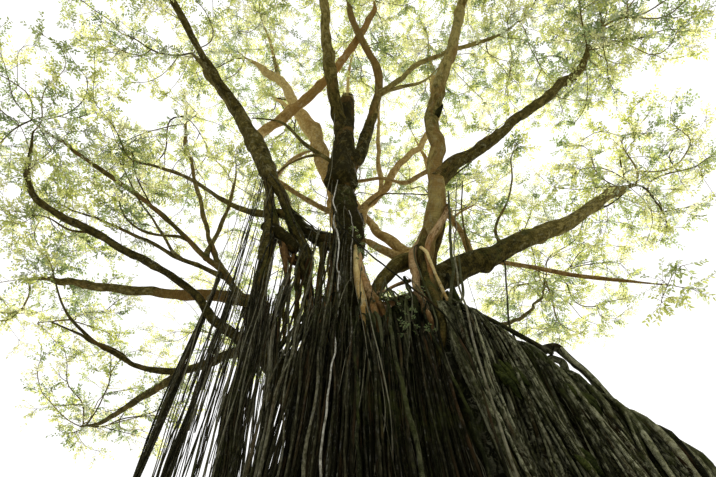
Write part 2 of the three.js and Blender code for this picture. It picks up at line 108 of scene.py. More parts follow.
# ---------------------------------------------------------------- mesh building
class Build:
    """collects tubes and sheets of faces, in living metres, for one joined mesh"""

    def __init__(self):
        self.V, self.F4, self.F3, self.flow, self.tone, self.warm, self.m4, self.m3 = [], [], [], [], [], [], [], []
        self.n = 0

    def add(self, V, quads=None, tris=None, flow=None, tone=0.5, mat=0, warm=0.0):
        V = np.asarray(V, float)
        self.V.append(V)
        self.flow.append(V.copy() if flow is None else np.asarray(flow, float))
        self.tone.append(np.full(len(V), tone, float) if np.isscalar(tone) else np.asarray(tone, float))
        self.warm.append(np.full(len(V), warm, float) if np.isscalar(warm) else np.asarray(warm, float))
        if quads is not None and len(quads):
            self.F4.append(np.asarray(quads, np.int64) + self.n)
            self.m4.append(np.full(len(quads), mat, np.int32))
        if tris is not None and len(tris):
            self.F3.append(np.asarray(tris, np.int64) + self.n)
            self.m3.append(np.full(len(tris), mat, np.int32))
        self.n += len(V)

    def tris(self):
        return sum(2 * len(f) for f in self.F4) + sum(len(f) for f in self.F3)

    def mesh(self, name, materials, smooth=True):
        V = np.concatenate(self.V) * K
        F4 = np.concatenate(self.F4) if self.F4 else np.zeros((0, 4), np.int64)
        F3 = np.concatenate(self.F3) if self.F3 else np.zeros((0, 3), np.int64)
        m = np.concatenate(self.m4 + self.m3) if (self.m4 or self.m3) else np.zeros(0, np.int32)
        me = bpy.data.meshes.new(name)
        me.vertices.add(len(V))
        me.vertices.foreach_set('co', V.astype(np.float32).ravel())
        loops = np.concatenate([F4.ravel(), F3.ravel()]).astype(np.int32)
        total = np.concatenate([np.full(len(F4), 4), np.full(len(F3), 3)]).astype(np.int32)
        start = np.concatenate([[0], np.cumsum(total)[:-1]]).astype(np.int32)
        me.loops.add(len(loops))
        me.loops.foreach_set('vertex_index', loops)
        me.polygons.add(len(total))
        me.polygons.foreach_set('loop_start', start)
        me.polygons.foreach_set('loop_total', total)
        me.polygons.foreach_set('material_index', m)
        me.polygons.foreach_set('use_smooth', np.full(len(total), smooth))
        for mat in materials:
            me.materials.append(mat)
        me.update(calc_edges=True)
        flow = me.attributes.new('flow', 'FLOAT_VECTOR', 'POINT')
        flow.data.foreach_set('vector', np.concatenate(self.flow).astype(np.float32).ravel())
        tone = me.attributes.new('tone', 'FLOAT', 'POINT')
        tone.data.foreach_set('value', np.concatenate(self.tone).astype(np.float32))
        warm = me.attributes.new('warmth', 'FLOAT', 'POINT')
        warm.data.foreach_set('value', np.concatenate(self.warm).astype(np.float32))
        ob = bpy.data.objects.new(name, me)
        scene.collection.objects.link(ob)
        return ob


def tube_faces(n, k):
    """quads of a tube with n rings of k points"""
    i = np.arange(n - 1)[:, None] * k
    j = np.arange(k)[None, :]
    a = i + j
    b = i + (j + 1) % k
    return np.stack([a, b, b + k, a + k], -1).reshape(-1, 4)


def frames(P, ref=None):
    """tangent and two side vectors along a polyline; ref keeps near-straight ones untwisted"""
    P = np.asarray(P, float)
    T = unit(np.gradient(P, axis=0))
    if ref is not None:
        S = unit(np.cross(np.broadcast_to(ref, T.shape), T))
        return T, S, np.cross(T, S)
    S = np.zeros_like(T)
    s = np.cross([0, 0, 1.0], T[0])
    if np.linalg.norm(s) < 0.2:
        s = np.array([1.0, 0, 0])
    for i in range(len(T)):
        s = s - T[i] * np.dot(s, T[i])
        s = s / (np.linalg.norm(s) + 1e-12)
        S[i] = s
    return T, S, np.cross(T, S)


def tube(build, P, R, sides, ref=None, tone=0.5, mat=0, relief=None, oval=1.0, spin=0.0, tips=(True, True), warm=0.0):
    """one closed tapering tube along P with radii R; relief(a, s, P) gives a factor per point"""
    P = np.asarray(P, float)
    R = np.asarray(R, float)
    n = len(P)
    T, S, U = frames(P, ref)
    a = np.arange(sides) / sides * TAU
    seg = np.r_[0, np.cumsum(np.linalg.norm(np.diff(P, axis=0), axis=1))]
    A = np.broadcast_to(a, (n, sides))
    L = np.broadcast_to(seg[:, None], (n, sides))
    rr = np.broadcast_to(R[:, None], (n, sides)).copy()
    if relief is not None:
        rr = rr * relief(A, L, P)
    ca, sa = np.cos(A + spin) * rr, np.sin(A + spin) * rr * oval
    V = P[:, None, :] + S[:, None, :] * ca[..., None] + U[:, None, :] * sa[..., None]
    r0 = max(float(R.mean()), 0.02)
    off = rng.uniform(-40, 40, 3)
    flow = np.stack([r0 * np.cos(A), r0 * np.sin(A), L], -1) + off
    V = V.reshape(-1, 3)
    flow = flow.reshape(-1, 3)
    quads = tube_faces(n, sides)
    tris = []
    extra, eflow = [], []
    base = n * sides
    for end, on in ((0, tips[0]), (n - 1, tips[1])):
        if not on:
            continue
        c = P[end] + (T[end] if end else -T[end]) * R[end] * 0.5
        extra.append(c)
        eflow.append(off + np.array([0, 0, seg[end]]))
        ci = base + len(extra) - 1
        j = np.arange(sides)
        ring = end * sides + j
        nxt = end * sides + (j + 1) % sides
        tris.append(np.stack([np.full(sides, ci), nxt, ring] if end == 0 else [np.full(sides, ci), ring, nxt], -1))
    if extra:
        V = np.vstack([V, extra])
        flow = np.vstack([flow, eflow])
        tris = np.concatenate(tris)
    build.add(V, quads, tris if len(extra) else None, flow, tone if np.isscalar(tone) else np.r_[np.repeat(tone, sides), np.full(len(extra), tone[-1])], mat,
              warm if np.isscalar(warm) else np.r_[np.repeat(warm, sides), np.full(len(extra), warm[-1])])


# ---------------------------------------------------------------- the tree's sizes (as in the solids)
TRUNK = dict(height=15.9, topCentre=(0.55, 0.45), topHalf=(2.75, 2.35), footCentre=(0.95, 0.15),
             footHalf=(4.35, 4.0), flareFrom=0.42, flarePower=2.1)
WALL = dict(start=3.0, reach=9.6, height=13.9, bow=1.2, fall=0.65, lowest=0.9,
            top=(2.6, 5.75, 9.0, 12.5), foot=(4.0, 7.75, 10.5, 13.0),
            halfTop=(1.7, 1.25, 0.85), halfFoot=(3.1, 2.5, 1.8))
CURTAIN_LEFT = dict(top=(-2.95, 0.15, 17.2), foot=(-3.75, -0.35), half=(1.0, 0.75), footHalf=(1.45, 1.15))
CURTAIN_FRONT = dict(top=(0.3, -2.3, 15.2), foot=(0.2, -4.85), half=(2.0, 0.18), footHalf=(2.9, 0.35))

# name: base, az, pitch, length, turn, lift, sway, wave, d0, d1, sink, reach
LIMBS = {
    'stem_rear_left': ((-1.3, 2.1, 9.0), 160.0, 67.0, 9.2, 0, 4, 0, 0, 1.45, 0.9, 0, 0),
    'stem_centre': ((-0.31, 0.2, 16.3), -119.8, 80.9, 7.88, 2.3, 4.9, -0.3, 0.3, 1.15, 0.92, 0.14, 0),
    'stem_left': ((-2.28, 0.3, 16.53), -142.5, 67.6, 18.24, -33.7, -6.2, -2.3, 2.3, 1.12, 0.45, 0.09, 3.0),
    'stem_tan': ((-0.67, 1.8, 18.83), -148.3, 90.1, 22.28, -21.4, -40.4, 2.2, -3.4, 0.95, 0.5, 0.17, 1.2),
    'stem_right': ((2.45, 0.2, 16.53), -56.0, 63.4, 18.95, -3.8, 8.6, -8.2, 6.6, 0.84, 0.48, 0.09, 3.0),
    'bough_right': ((2.88, 0.0, 15.33), -3.6, 40.4, 14.7, 21.4, -3.7, 3.6, -6.9, 0.92, 0.44, 0.08, 1.5),
    'stem_centre_left': ((-0.75, -0.6, 24.12), -114.6, 88.8, 12.63, 12.9, -48.4, -1.2, -9.5, 0.85, 0.42, 0, 3.0),
    'stem_centre_right': ((-0.67, -0.45, 22.16), -17.7, 69.1, 17.53, -91.4, 1.1, 44.0, 11.4, 0.72, 0.36, 0, 3.0),
    'bough_back_left_low': ((-4.76, -1.07, 23.58), 106.2, 68.7, 5.18, 49.5, 7.4, -20.2, -3.4, 0.62, 0.56, 0, 0),
    'bough_back_left': ((-5.55, 0.09, 28.49), -27.5, 30.1, 15.14, -12.1, 53.9, 6.6, 9.7, 0.62, 0.4, 0, 1.0),
    'bough_right_up': ((3.46, -1.39, 21.58), -3.0, 25.7, 13.24, -17.6, 34.8, -2.6, 9.5, 0.6, 0.4, 0, 3.0),
    'bough_high_right': ((1.21, -1.84, 32.66), 20.8, 35.8, 13.12, -57.5, -3.7, -12.3, 9.9, 0.36, 0.24, 0, 0),
    'bough_back_mid': ((-0.49, -0.12, 18.9), 91.2, 56.1, 16.06, -177.8, 18.1, -44.9, 5.1, 0.5, 0.3, 0, 7.5),
    'bough_cross_tan': ((2.43, 0.05, 17.2), 132.8, 52.8, 26.6, -19.2, 70.2, 26.0, 2.6, 0.36, 0.22, 0, 1.0),
    'bough_left_low': ((-3.6, 2.2, 14.03), 178.6, 32.8, 15.1, 14.7, 2.2, -1.0, 11.4, 0.62, 0.4, 0, 0),
    'bough_left_low_end': ((-15.91, 0.83, 22.37), -148.1, 49.1, 4.5, 3.1, 24.3, 0.9, 4.9, 0.4, 0.24, 0, 1.0),
    'bough_left_back': ((-4.12, 2.6, 17.11), 171.5, 17.4, 13.7, -6.0, 2.0, -0.5, -1.7, 0.6, 0.3, 0, 1.0),
    'bough_left_up': ((-3.93, 2.4, 15.97), 173.9, 52.5, 20.69, 31.4, -23.8, 5.0, 0.5, 0.5, 0.26, 0, 0),
    'bough_left_rear': ((-4.11, 3.4, 15.36), 148.5, 11.2, 11.74, 28.5, 14.6, -9.3, -7.5, 0.46, 0.26, 0, 2.0),
    'bough_left_rear_low': ((-8.19, 5.98, 16.11), 124.7, 3.5, 10.36, 18.3, 14.4, 6.4, 2.8, 0.34, 0.22, 0, 1.5),
    'bough_left_fork': ((-6.11, 2.44, 18.64), 168.0, 60.3, 16.73, 35.5, 14.5, -21.1, 4.3, 0.32, 0.2, 0, 2.5),
    'bough_rear_right': ((2.6, 1.9, 14.9), 45.8, 25.6, 19.6, -12.2, 35.7, -5.5, 0.8, 0.52, 0.26, 0.06, 0.4),
    'bough_rear': ((0.9, 2.4, 14.9), 82.0, 40.0, 20.5, -9, 8, -6, 4, 0.85, 0.34, 0.06, 1.0),
    'bough_rear_left': ((-3.0, 2.7, 12.8), 104.0, 42.0, 20.5, 12, 2, 5, 5, 0.7, 0.32, 0.02, 0.8),
    'bough_rear_high': ((-0.2, 2.5, 15.0), 99.3, 77.2, 25.5, -6.0, -15.9, 0.6, -3.9, 0.62, 0.28, 0.05, 0.4),
    'bough_rear_right_high': ((3.4, 2.6, 15.6), 87.5, 82.6, 22.3, -41.3, -29.1, -7.2, -5.4, 0.42, 0.24, 0, 0.4),
    'bough_rear_left_high': ((-2.1, 5.3, 16.9), 122.8, 62.9, 19.1, -38.3, 3.4, -12.2, 4.6, 0.4, 0.24, 0, 0.4),
    'bough_front': ((-2.2, -5.2, 34.75), -96.8, 1.5, 7.39, -6.1, -12.9, 0.7, 1.4, 0.36, 0.24, 0, 0.6),
    'bough_front_left': ((-6.9, -2.5, 27.6), -128.0, 24.0, 11.5, 8, 12, 4, -4, 0.42, 0.26, 0, 0.5),
    'bough_front_right': ((6.2, -5.75, 33.5), -75.1, 13.5, 7.41, -6.2, -23.8, 0.6, 2.3, 0.4, 0.24, 0, 0.6),
}
# thinner branches that the photo shows, with no solid of their own
BRANCHES = {
    'left_mid': ((-3.9, -0.2, 19.7), 169.3, 17.5, 13.6, 7.7, 46.7, 0.8, 19.9, 0.26, 0.12, 0, 0),
    'back_thin': ((1.2, 1.4, 24.3), -90.3, 80.7, 12.8, 37.0, 4.3, -10.0, 1.1, 0.27, 0.14, 0, 0),
    'tan_upper': ((-5.8, 0.0, 37.9), -111.2, 42.8, 4.6, -4.7, -1.3, 0, -0.9, 0.3, 0.16, 0, 0),
    'left_long': ((-6.2, 2.6, 18.8), 181.9, 26.9, 13.6, -7.6, 8.8, -1.8, 5.1, 0.22, 0.10, 0, 0),
    'left_v': ((-7.3, 2.6, 20.7), 184.1, 98.7, 9.3, -5.8, -23.5, 1.5, -1.2, 0.24, 0.12, 0.02, 0),
    'left_vein': ((-8.9, 2.4, 20.3), -170.1, 58.9, 9.4, -2.2, -7.0, 0.3, -6.4, 0.14, 0.07, 0, 0),
    'left_twist': ((-9.8, 2.3, 22.7), -161.7, 37.8, 6.6, 9.5, 36.2, -0.8, -0.1, 0.12, 0.06, 0, 0),
    'right_level': ((5.7, 0.4, 17.1), 2.5, -17.4, 4.2, -5.1, 6.4, -2.2, 2.2, 0.2, 0.12, 0.05, 2.0),
    'dark_a': ((-0.6, -0.7, 22.0), -155.0, 88.7, 6.3, -22.8, -82.4, -8.8, -31.2, 0.24, 0.12, 0, 1.0),
    'dark_b': ((-2.3, -1.0, 23.8), 173.6, -37.3, 2.3, -2.9, -19.3, 1.3, 7.2, 0.13, 0.07, 0, 0),
    'link_low': ((-1.4, 1.7, 23.1), -166.4, -8.7, 3.5, -3.3, 14.2, 0.1, -6.6, 0.24, 0.16, 0, 1.5),
    'link_right': ((3.4, -0.5, 21.3), 159.0, 51.5, 6.2, -7.3, 13.7, 5.1, -1.6, 0.26, 0.16, 0, 2),
    'tan_low': ((4.8, 0.3, 17.2), 108.8, 80.2, 13.0, 25.3, 2.7, -6.1, -4.4, 0.36, 0.2, 0.03, 2),
    'sprig_a': ((3.9, -0.7, 21.1), -9.0, 59.3, 7.0, 13.1, -3.2, -5.5, -7.5, 0.1, 0.05, 0, 0),
    'sprig_b': ((4.4, -0.2, 17.8), 4.2, 84.9, 4.8, -1.2, -4.8, 0.4, 2.2, 0.1, 0.05, 0.03, 0),
    'sprig_c': ((5.9, 0.1, 18.9), -12.5, 75.2, 6.6, 0.1, -10.0, 2.1, -12.4, 0.13, 0.06, 0.02, 0),
    'high_right_b': ((1.8, -0.7, 33.0), -5.1, 17.8, 6.1, -11.3, 48.2, -2.9, 1.8, 0.24, 0.12, 0, 1),
    'fork_small': ((-0.4, 0.3, 18.2), -172.8, 10.3, 2.5, 0.2, 20.7, -1.0, -8.3, 0.3, 0.22, 0, 0),
    'left_up_b': ((-8.5, 2.3, 21.5), 172.4, 2.2, 5.3, 27.5, 56.8, 3.0, -11.7, 0.16, 0.08, 0, 0),
    'left_low_b': ((-11.6, 1.5, 20.0), 174.1, 45.0, 6.2, -0.9, -31.6, -1.2, -13.6, 0.14, 0.07, 0, 0),
    'left_rear_b': ((-12.3, 6.0, 17.6), -154.4, 26.5, 5.2, 9.6, 31.1, -1.6, -4.1, 0.16, 0.08, 0, 0),
}
# foliage masses: centre and half sizes
MASSES = {
    'foliage_top_centre': ((0.4, 0.6, 45.3), (6.2, 5.8, 4.6)),
    'foliage_top_right': ((8.2, 1.0, 42.0), (5.4, 5.6, 4.0)),
    'foliage_top_left': ((-8.8, 0.6, 41.8), (5.4, 5.4, 4.0)),
    'foliage_top_rear': ((0.6, 10.0, 40.8), (6.2, 5.2, 4.0)),
    'foliage_top_front': ((1.2, -7.6, 42.0), (5.8, 4.6, 3.7)),
    'foliage_front_centre': ((-5.6, -9.0, 37.6), (5.6, 5.0, 3.7)),
    'foliage_front_right': ((8.0, -8.8, 37.2), (5.4, 5.0, 3.6)),
    'foliage_right_high': ((14.2, -1.6, 37.2), (5.0, 5.2, 3.7)),
    'foliage_right_rear_high': ((9.4, 10.6, 35.4), (6.6, 5.6, 3.9)),
    'foliage_rear_left_high': ((-4.6, 15.3, 34.2), (7.2, 5.4, 3.9)),
    'foliage_left_rear_high': ((-13.0, 7.0, 34.2), (6.0, 6.4, 4.2)),
    'foliage_left_high': ((-13.6, -4.6, 35.4), (5.2, 5.2, 3.6)),
    'foliage_right_low': ((16.2, 2.8, 27.4), (5.7, 5.6, 4.0)),
    'foliage_right_mid': ((16.0, -7.0, 31.6), (5.2, 4.8, 3.5)),
    'foliage_front_right_low': ((7.8, -15.6, 33.2), (5.4, 4.4, 3.4)),
    'foliage_front_left_low': ((-4.2, -16.0, 33.4), (5.6, 4.4, 3.4)),
    'foliage_left_front': ((-13.4, -12.0, 31.8), (5.5, 5.0, 3.5)),
    'foliage_left_mid': ((-18.4, -0.6, 29.2), (5.0, 5.6, 4.0)),
    'foliage_left_low': ((-17.6, 7.0, 22.6), (5.2, 4.9, 3.6)),
    'foliage_left_rear_low': ((-15.6, 15.0, 20.8), (5.5, 4.9, 3.8)),
    'foliage_rear_left_low': ((-9.4, 16.4, 28.6), (7.2, 5.8, 4.2)),
    'foliage_rear_right_low': ((4.2, 19.2, 29.4), (6.0, 5.0, 3.9)),
    'foliage_right_rear_low': ((14.4, 13.0, 28.0), (5.8, 5.4, 4.0)),
}


# ---------------------------------------------------------------- materials
def node_mat(name):
    m = bpy.data.materials.new(name)
    m.use_nodes = True
    nt = m.node_tree
    for n in list(nt.nodes):
        if n.type not in ('BSDF_PRINCIPLED', 'OUTPUT_MATERIAL'):
            nt.nodes.remove(n)
    return m, nt, nt.nodes['Principled BSDF'], nt.nodes['Material Output']


def ramp(nt, fac, stops):
    r = nt.nodes.new('ShaderNodeValToRGB')
    cr = r.color_ramp
    while len(cr.elements) > 1:
        cr.elements.remove(cr.elements[-1])
    cr.elements[0].position = stops[0][0]
    cr.elements[0].color = (*stops[0][1], 1)
    for p, c in stops[1:]:
        e = cr.elements.new(p)
        e.color = (*c, 1)
    nt.links.new(fac, r.inputs['Fac'])
    return r.outputs['Color']


def attr(nt, name):
    a = nt.nodes.new('ShaderNodeAttribute')
    a.attribute_name = name
    return a


def scaled(nt, vec, s):
    m = nt.nodes.new('ShaderNodeMapping')
    m.inputs['Scale'].default_value = s
    nt.links.new(vec, m.inputs['Vector'])
    return m.outputs['Vector']


def noise(nt, vec, scale, detail=4, rough=0.6, dist=0.0):
    n = nt.nodes.new('ShaderNodeTexNoise')
    n.inputs['Scale'].default_value = scale
    n.inputs['Detail'].default_value = detail
    n.inputs['Roughness'].default_value = rough
    n.inputs['Distortion'].default_value = dist
    nt.links.new(vec, n.inputs['Vector'])
    return n.outputs['Fac']


def math_node(nt, op, a, b, clamp=False):
    n = nt.nodes.new('ShaderNodeMath')
    n.operation = op
    n.use_clamp = clamp
    for i, v in enumerate((a, b)):
        if isinstance(v, (int, float)):
            n.inputs[i].default_value = v
        else:
            nt.links.new(v, n.inputs[i])
    return n.outputs[0]


def mix(nt, fac, a, b):
    n = nt.nodes.new('ShaderNodeMix')
    n.data_type = 'RGBA'
    if isinstance(fac, (int, float)):
        n.inputs[0].default_value = fac
    else:
        nt.links.new(fac, n.inputs[0])
    for i, v in ((6, a), (7, b)):
        if isinstance(v, tuple):
            n.inputs[i].default_value = (*v, 1)
        else:
            nt.links.new(v, n.inputs[i])
    return n.outputs[2]


def bark(name, dark, mid, pale, lichen=0.5, moss=0.35, streak=(3.0, 3.0, 0.5), fine=(26, 26, 7), bump=0.6, rough=0.9,
         rings=0.0, ring_scale=2.6, patches=5.5, warm=None, lich=((0.20, 0.20, 0.16), (0.40, 0.39, 0.33)), base_scale=2.2, flip=0.75, spread=0.16, crisp=14.0, cover=0.85):
    """streaks along the limb, mottled patches of pale lichen, moss in damp places, cracks and rings"""
    m, nt, bsdf, out = node_mat(name)
    flow = attr(nt, 'flow').outputs['Vector']
    tone = attr(nt, 'tone').outputs['Fac']
    geo = nt.nodes.new('ShaderNodeNewGeometry')
    pos = nt.nodes.new('ShaderNodeTexCoord').outputs['Object']
    n1 = noise(nt, scaled(nt, flow, streak), base_scale, 7, 0.66, 0.5)
    n2 = noise(nt, scaled(nt, flow, fine), 1.0, 5, 0.65)
    n3 = noise(nt, scaled(nt, flow, (1.4, 1.4, 0.9)), 2.6, 4, 0.6, 1.0)
    body = math_node(nt, 'ADD', math_node(nt, 'MULTIPLY', n1, flip * 0.7), math_node(nt, 'MULTIPLY', n3, flip * 0.3))
    body = math_node(nt, 'ADD', body, math_node(nt, 'MULTIPLY', n2, 1 - flip))
    body = math_node(nt, 'ADD', body, math_node(nt, 'MULTIPLY', math_node(nt, 'SUBTRACT', tone, 0.5), 0.42))
    col = ramp(nt, body, [(0.5 - spread, dark), (0.5, mid), (0.5 + spread, pale)])
    if warm is not None:      # warmer where the bark is thin, and where the limb is said to be
        wf = noise(nt, scaled(nt, flow, (1, 1, 0.35)), 1.3, 4, 0.6, 0.8)
        wf = math_node(nt, 'MULTIPLY', math_node(nt, 'SUBTRACT', math_node(nt, 'ADD', wf, math_node(nt, 'MULTIPLY', attr(nt, 'warmth').outputs['Fac'], 0.3)), 0.54), 5.0, True)
        col = mix(nt, math_node(nt, 'MULTIPLY', wf, 0.75), col, mix(nt, n2, tuple(0.6 * c for c in warm), warm))
    # pale lichen in crisp patches
    pn = noise(nt, scaled(nt, flow, (1, 1, 0.62)), patches, 6, 0.72, 0.9)
    patch = math_node(nt, 'MULTIPLY', math_node(nt, 'SUBTRACT', pn, 0.665 - 0.16 * lichen), crisp, True)
    pn2 = noise(nt, scaled(nt, flow, (1, 1, 0.3)), 0.9, 3, 0.6)
    zone = math_node(nt, 'MULTIPLY', math_node(nt, 'SUBTRACT', math_node(nt, 'ADD', pn2, math_node(nt, 'MULTIPLY', tone, 0.28)), 0.52), 5.0, True)
    patch = math_node(nt, 'MULTIPLY', patch, zone)
    col = mix(nt, math_node(nt, 'MULTIPLY', patch, cover), col, mix(nt, n2, lich[0], lich[1]))
    # moss where damp: broken patches, more on top of what leans
    sep = nt.nodes.new('ShaderNodeSeparateXYZ')
    nt.links.new(geo.outputs['Normal'], sep.inputs[0])
    up = math_node(nt, 'MULTIPLY', math_node(nt, 'ADD', sep.outputs['Z'], 0.2), 0.12)
    mn = noise(nt, pos, 0.5, 3, 0.6, 0.3)
    mf = noise(nt, pos, 5.5, 5, 0.75)
    mo = math_node(nt, 'ADD', math_node(nt, 'SUBTRACT', mn, 0.60 - 0.2 * moss), up)
    mo = math_node(nt, 'ADD', mo, math_node(nt, 'MULTIPLY', math_node(nt, 'SUBTRACT', mf, 0.52), 0.9))
    mo = math_node(nt, 'MULTIPLY', mo, 6.0, True)
    mo = math_node(nt, 'MULTIPLY', mo, max(0.0, min(0.8, 0.45 + moss)))
    col = mix(nt, mo, col, mix(nt, n2, (0.016, 0.021, 0.005), (0.075, 0.085, 0.018)))
    nt.links.new(col, bsdf.inputs['Base Color'])
    bsdf.inputs['Roughness'].default_value = rough
    bsdf.inputs['Specular IOR Level'].default_value = 0.05
    h = math_node(nt, 'ADD', math_node(nt, 'MULTIPLY', n1, 0.7), math_node(nt, 'MULTIPLY', n2, 0.45))
    h = math_node(nt, 'ADD', h, math_node(nt, 'MULTIPLY', patch, 0.12))
    if rings:
        w = nt.nodes.new('ShaderNodeTexWave')
        w.wave_type = 'BANDS'
        w.bands_direction = 'Z'
        w.inputs['Scale'].default_value = ring_scale
        w.inputs['Distortion'].default_value = 7.0
        w.inputs['Detail'].default_value = 4.0
        w.inputs['Detail Roughness'].default_value = 0.7
        nt.links.new(flow, w.inputs['Vector'])
        h = math_node(nt, 'ADD', h, math_node(nt, 'MULTIPLY', w.outputs['Fac'], rings))
    b = nt.nodes.new('ShaderNodeBump')
    b.inputs['Strength'].default_value = bump
    b.inputs['Distance'].default_value = 0.04
    nt.links.new(h, b.inputs['Height'])
    nt.links.new(b.outputs['Normal'], bsdf.inputs['Normal'])
    return m


# fused root bark: a dark olive bark, made darker still as painted shade for the deep shade under the crown where the
# trunk stands
M_ROOT_BARK_AND_SHADE = bark('root_bark_fused_and_painted_shade', (0.0030, 0.0036, 0.0010), (0.0165, 0.0190, 0.0062), (0.118, 0.119, 0.058), lichen=0.6, moss=0.3, bump=1.0,
              rings=0.35, ring_scale=8.0, warm=(0.052, 0.032, 0.012), lich=((0.10, 0.10, 0.052), (0.29, 0.285, 0.17)), patches=5.0,
              streak=(4.5, 4.5, 1.1), fine=(22, 22, 9), flip=0.55, spread=0.15, crisp=8.0, cover=0.7)
M_WALL = bark('root_bark_wall', (0.008, 0.008, 0.003), (0.072, 0.073, 0.028), (0.42, 0.41, 0.225), lichen=1.2, moss=0.45, bump=1.0,
              rings=0.35, ring_scale=8.0, warm=(0.095, 0.045, 0.016), lich=((0.28, 0.28, 0.15), (0.64, 0.63, 0.41)), patches=6.0,
              streak=(4.5, 4.5, 1.3), fine=(22, 22, 11), flip=0.55, spread=0.15, crisp=14.0)
M_HANG = bark('root_bark_hanging', (0.0095, 0.009, 0.0035), (0.060, 0.056, 0.027), (0.27, 0.255, 0.16), lichen=0.8, moss=0.1, bump=0.7,
              rings=0.25, ring_scale=8.0, warm=(0.11, 0.06, 0.024), patches=7.0, streak=(4.5, 4.5, 1.2), fine=(22, 22, 8), flip=0.55, spread=0.16, crisp=8.0, cover=0.7)
M_PALE = bark('root_bark_pale', (0.10, 0.092, 0.06), (0.36, 0.34, 0.26), (0.74, 0.72, 0.62), lichen=0.9, moss=-0.4, bump=0.6,
              rings=0.25, ring_scale=8.0, patches=7.0, lich=((0.6, 0.58, 0.48), (0.85, 0.83, 0.75)), streak=(4, 4, 1.5), fine=(20, 20, 9), flip=0.5, spread=0.13)
M_BOUGH = bark('bough_bark', (0.020, 0.0165, 0.0035), (0.105, 0.083, 0.019), (0.37, 0.305, 0.098), lichen=0.9, moss=0.2, rings=0.35, bump=1.0,
               streak=(2.4, 2.4, 1.0), warm=(0.25, 0.140, 0.038), lich=((0.20, 0.19, 0.092), (0.48, 0.45, 0.25)), spread=0.15, crisp=7.0, cover=0.6)
M_TAN = bark('bough_bark_tan', (0.145, 0.082, 0.020), (0.43, 0.292, 0.092), (0.78, 0.62, 0.26), lichen=0.95, moss=-0.25, rings=0.4, bump=1.0,
             streak=(2.0, 2.0, 1.2), lich=((0.52, 0.45, 0.24), (0.86, 0.79, 0.50)), base_scale=2.8, warm=(0.43, 0.245, 0.066), flip=0.65, spread=0.15, crisp=7.0, cover=0.7)
M_FORK = bark('bark_in_the_fork', (0.034, 0.018, 0.005), (0.165, 0.093, 0.032), (0.54, 0.38, 0.185), lichen=0.8, moss=0.15, bump=1.0,
              streak=(3.0, 3.0, 0.8), warm=(0.36, 0.175, 0.048), lich=((0.20, 0.17, 0.10), (0.45, 0.40, 0.27)), flip=0.6, spread=0.14, crisp=8.0, cover=0.6)
M_TWIG = bark('twig_bark', (0.05, 0.038, 0.022), (0.12, 0.09, 0.052), (0.21, 0.17, 0.11), lichen=0.1, moss=-0.4, bump=0.2)

M_MOSS = bark('moss', (0.007, 0.010, 0.002), (0.030, 0.038, 0.008), (0.085, 0.095, 0.022), lichen=0.0, moss=0.8, bump=1.0, streak=(6, 6, 6), fine=(30, 30, 30), flip=0.45, spread=0.13)


def leaf_mat(name, col, glow, rough=0.42):
    m, nt, bsdf, out = node_mat(name)
    bsdf.inputs['Base Color'].default_value = (*col, 1)
    bsdf.inputs['Roughness'].default_value = rough
    bsdf.inputs['Specular IOR Level'].default_value = 0.35
    tr = nt.nodes.new('ShaderNodeBsdfTranslucent')
    tr.inputs['Color'].default_value = (*glow, 1)
    mx = nt.nodes.new('ShaderNodeMixShader')
    mx.inputs[0].default_value = 0.66
    nt.links.new(bsdf.outputs[0], mx.inputs[1])
    nt.links.new(tr.outputs[0], mx.inputs[2])
    nt.links.new(mx.outputs[0], out.inputs['Surface'])
    return m


# (share, upper face colour, colour of light through the blade)
TINTS = [
    (0.24, (0.195, 0.245, 0.055), (0.64, 0.68, 0.21)),
    (0.22, (0.295, 0.340, 0.095), (0.84, 0.85, 0.37)),
    (0.17, (0.135, 0.180, 0.055), (0.46, 0.53, 0.21)),
    (0.13, (0.080, 0.118, 0.042), (0.31, 0.39, 0.17)),
    (0.14, (0.395, 0.410, 0.170), (0.95, 0.94, 0.57)),
    (0.10, (0.190, 0.222, 0.130), (0.54, 0.59, 0.41)),
]
LEAF_MATS = [leaf_mat('leaf_tint_%d' % (i + 1), c, g) for i, (s, c, g) in enumerate(TINTS)]


# ---------------------------------------------------------------- limb axes
def axis(l, n=24):
    base, az, pitch, length, turn, lift, sway, wave, d0, d1, sink, reach = l
    t = np.minimum(1, (np.arange(n) + 0.5) / n * (length + reach) / length)
    a = (az + turn * t + sway * np.sin(TAU * t)) * RAD
    q = (pitch + lift * t + wave * np.sin(TAU * t)) * RAD
    d = np.stack([np.cos(q) * np.cos(a), np.cos(q) * np.sin(a), np.sin(q)], 1) * (length + reach) / n
    P = np.vstack([base, np.array(base) + np.cumsum(d, 0)])
    if sink:
        P = np.vstack([P[0] - unit(d[0]) * sink * length, P])
    return P


def resample(P, R, step):
    seg = np.r_[0, np.cumsum(np.linalg.norm(np.diff(P, axis=0), axis=1))]
    n = max(3, int(round(seg[-1] / step)) + 1)
    s = np.linspace(0, seg[-1], n)
    Q = np.stack([np.interp(s, seg, P[:, i]) for i in range(3)], 1)
    # round the corners of the polyline a little
    for _ in range(3):
        Q[1:-1] = 0.25 * Q[:-2] + 0.5 * Q[1:-1] + 0.25 * Q[2:]
    return Q, np.interp(s, seg, R), s


def joined(*names):
    """axis and radii of limbs that run on from one another, as one polyline"""
    P, R = [], []
    for nm in names:
        l = LIMBS.get(nm) or BRANCHES[nm]
        p = axis(l)
        s = np.linspace(0, 1, len(p))
        r = lerp(l[8], l[9], s) / 2
        if not P:
            r = r * (1 + 0.22 * np.exp(-14 * s))
        P.append(p if not P else p[1:])
        R.append(r if not R else r[1:])
    return np.vstack(P), np.concatenate(R)


TAN = {'stem_tan', 'bough_cross_tan', 'bough_back_left_low', 'tan_low', 'tan_upper', 'bough_back_left', 'link_low', 'link_right', 'back_thin', 'bough_back_mid',
       'right_level', 'tan_twin', 'cross_thin', 'tan_parallel', 'tan_side'}
RUNS = [('bough_back_left_low', 'bough_back_left'), ('bough_left_low', 'bough_left_low_end')]
SINGLE = [n for n in LIMBS if not any(n in r for r in RUNS)]
PATHS = {}
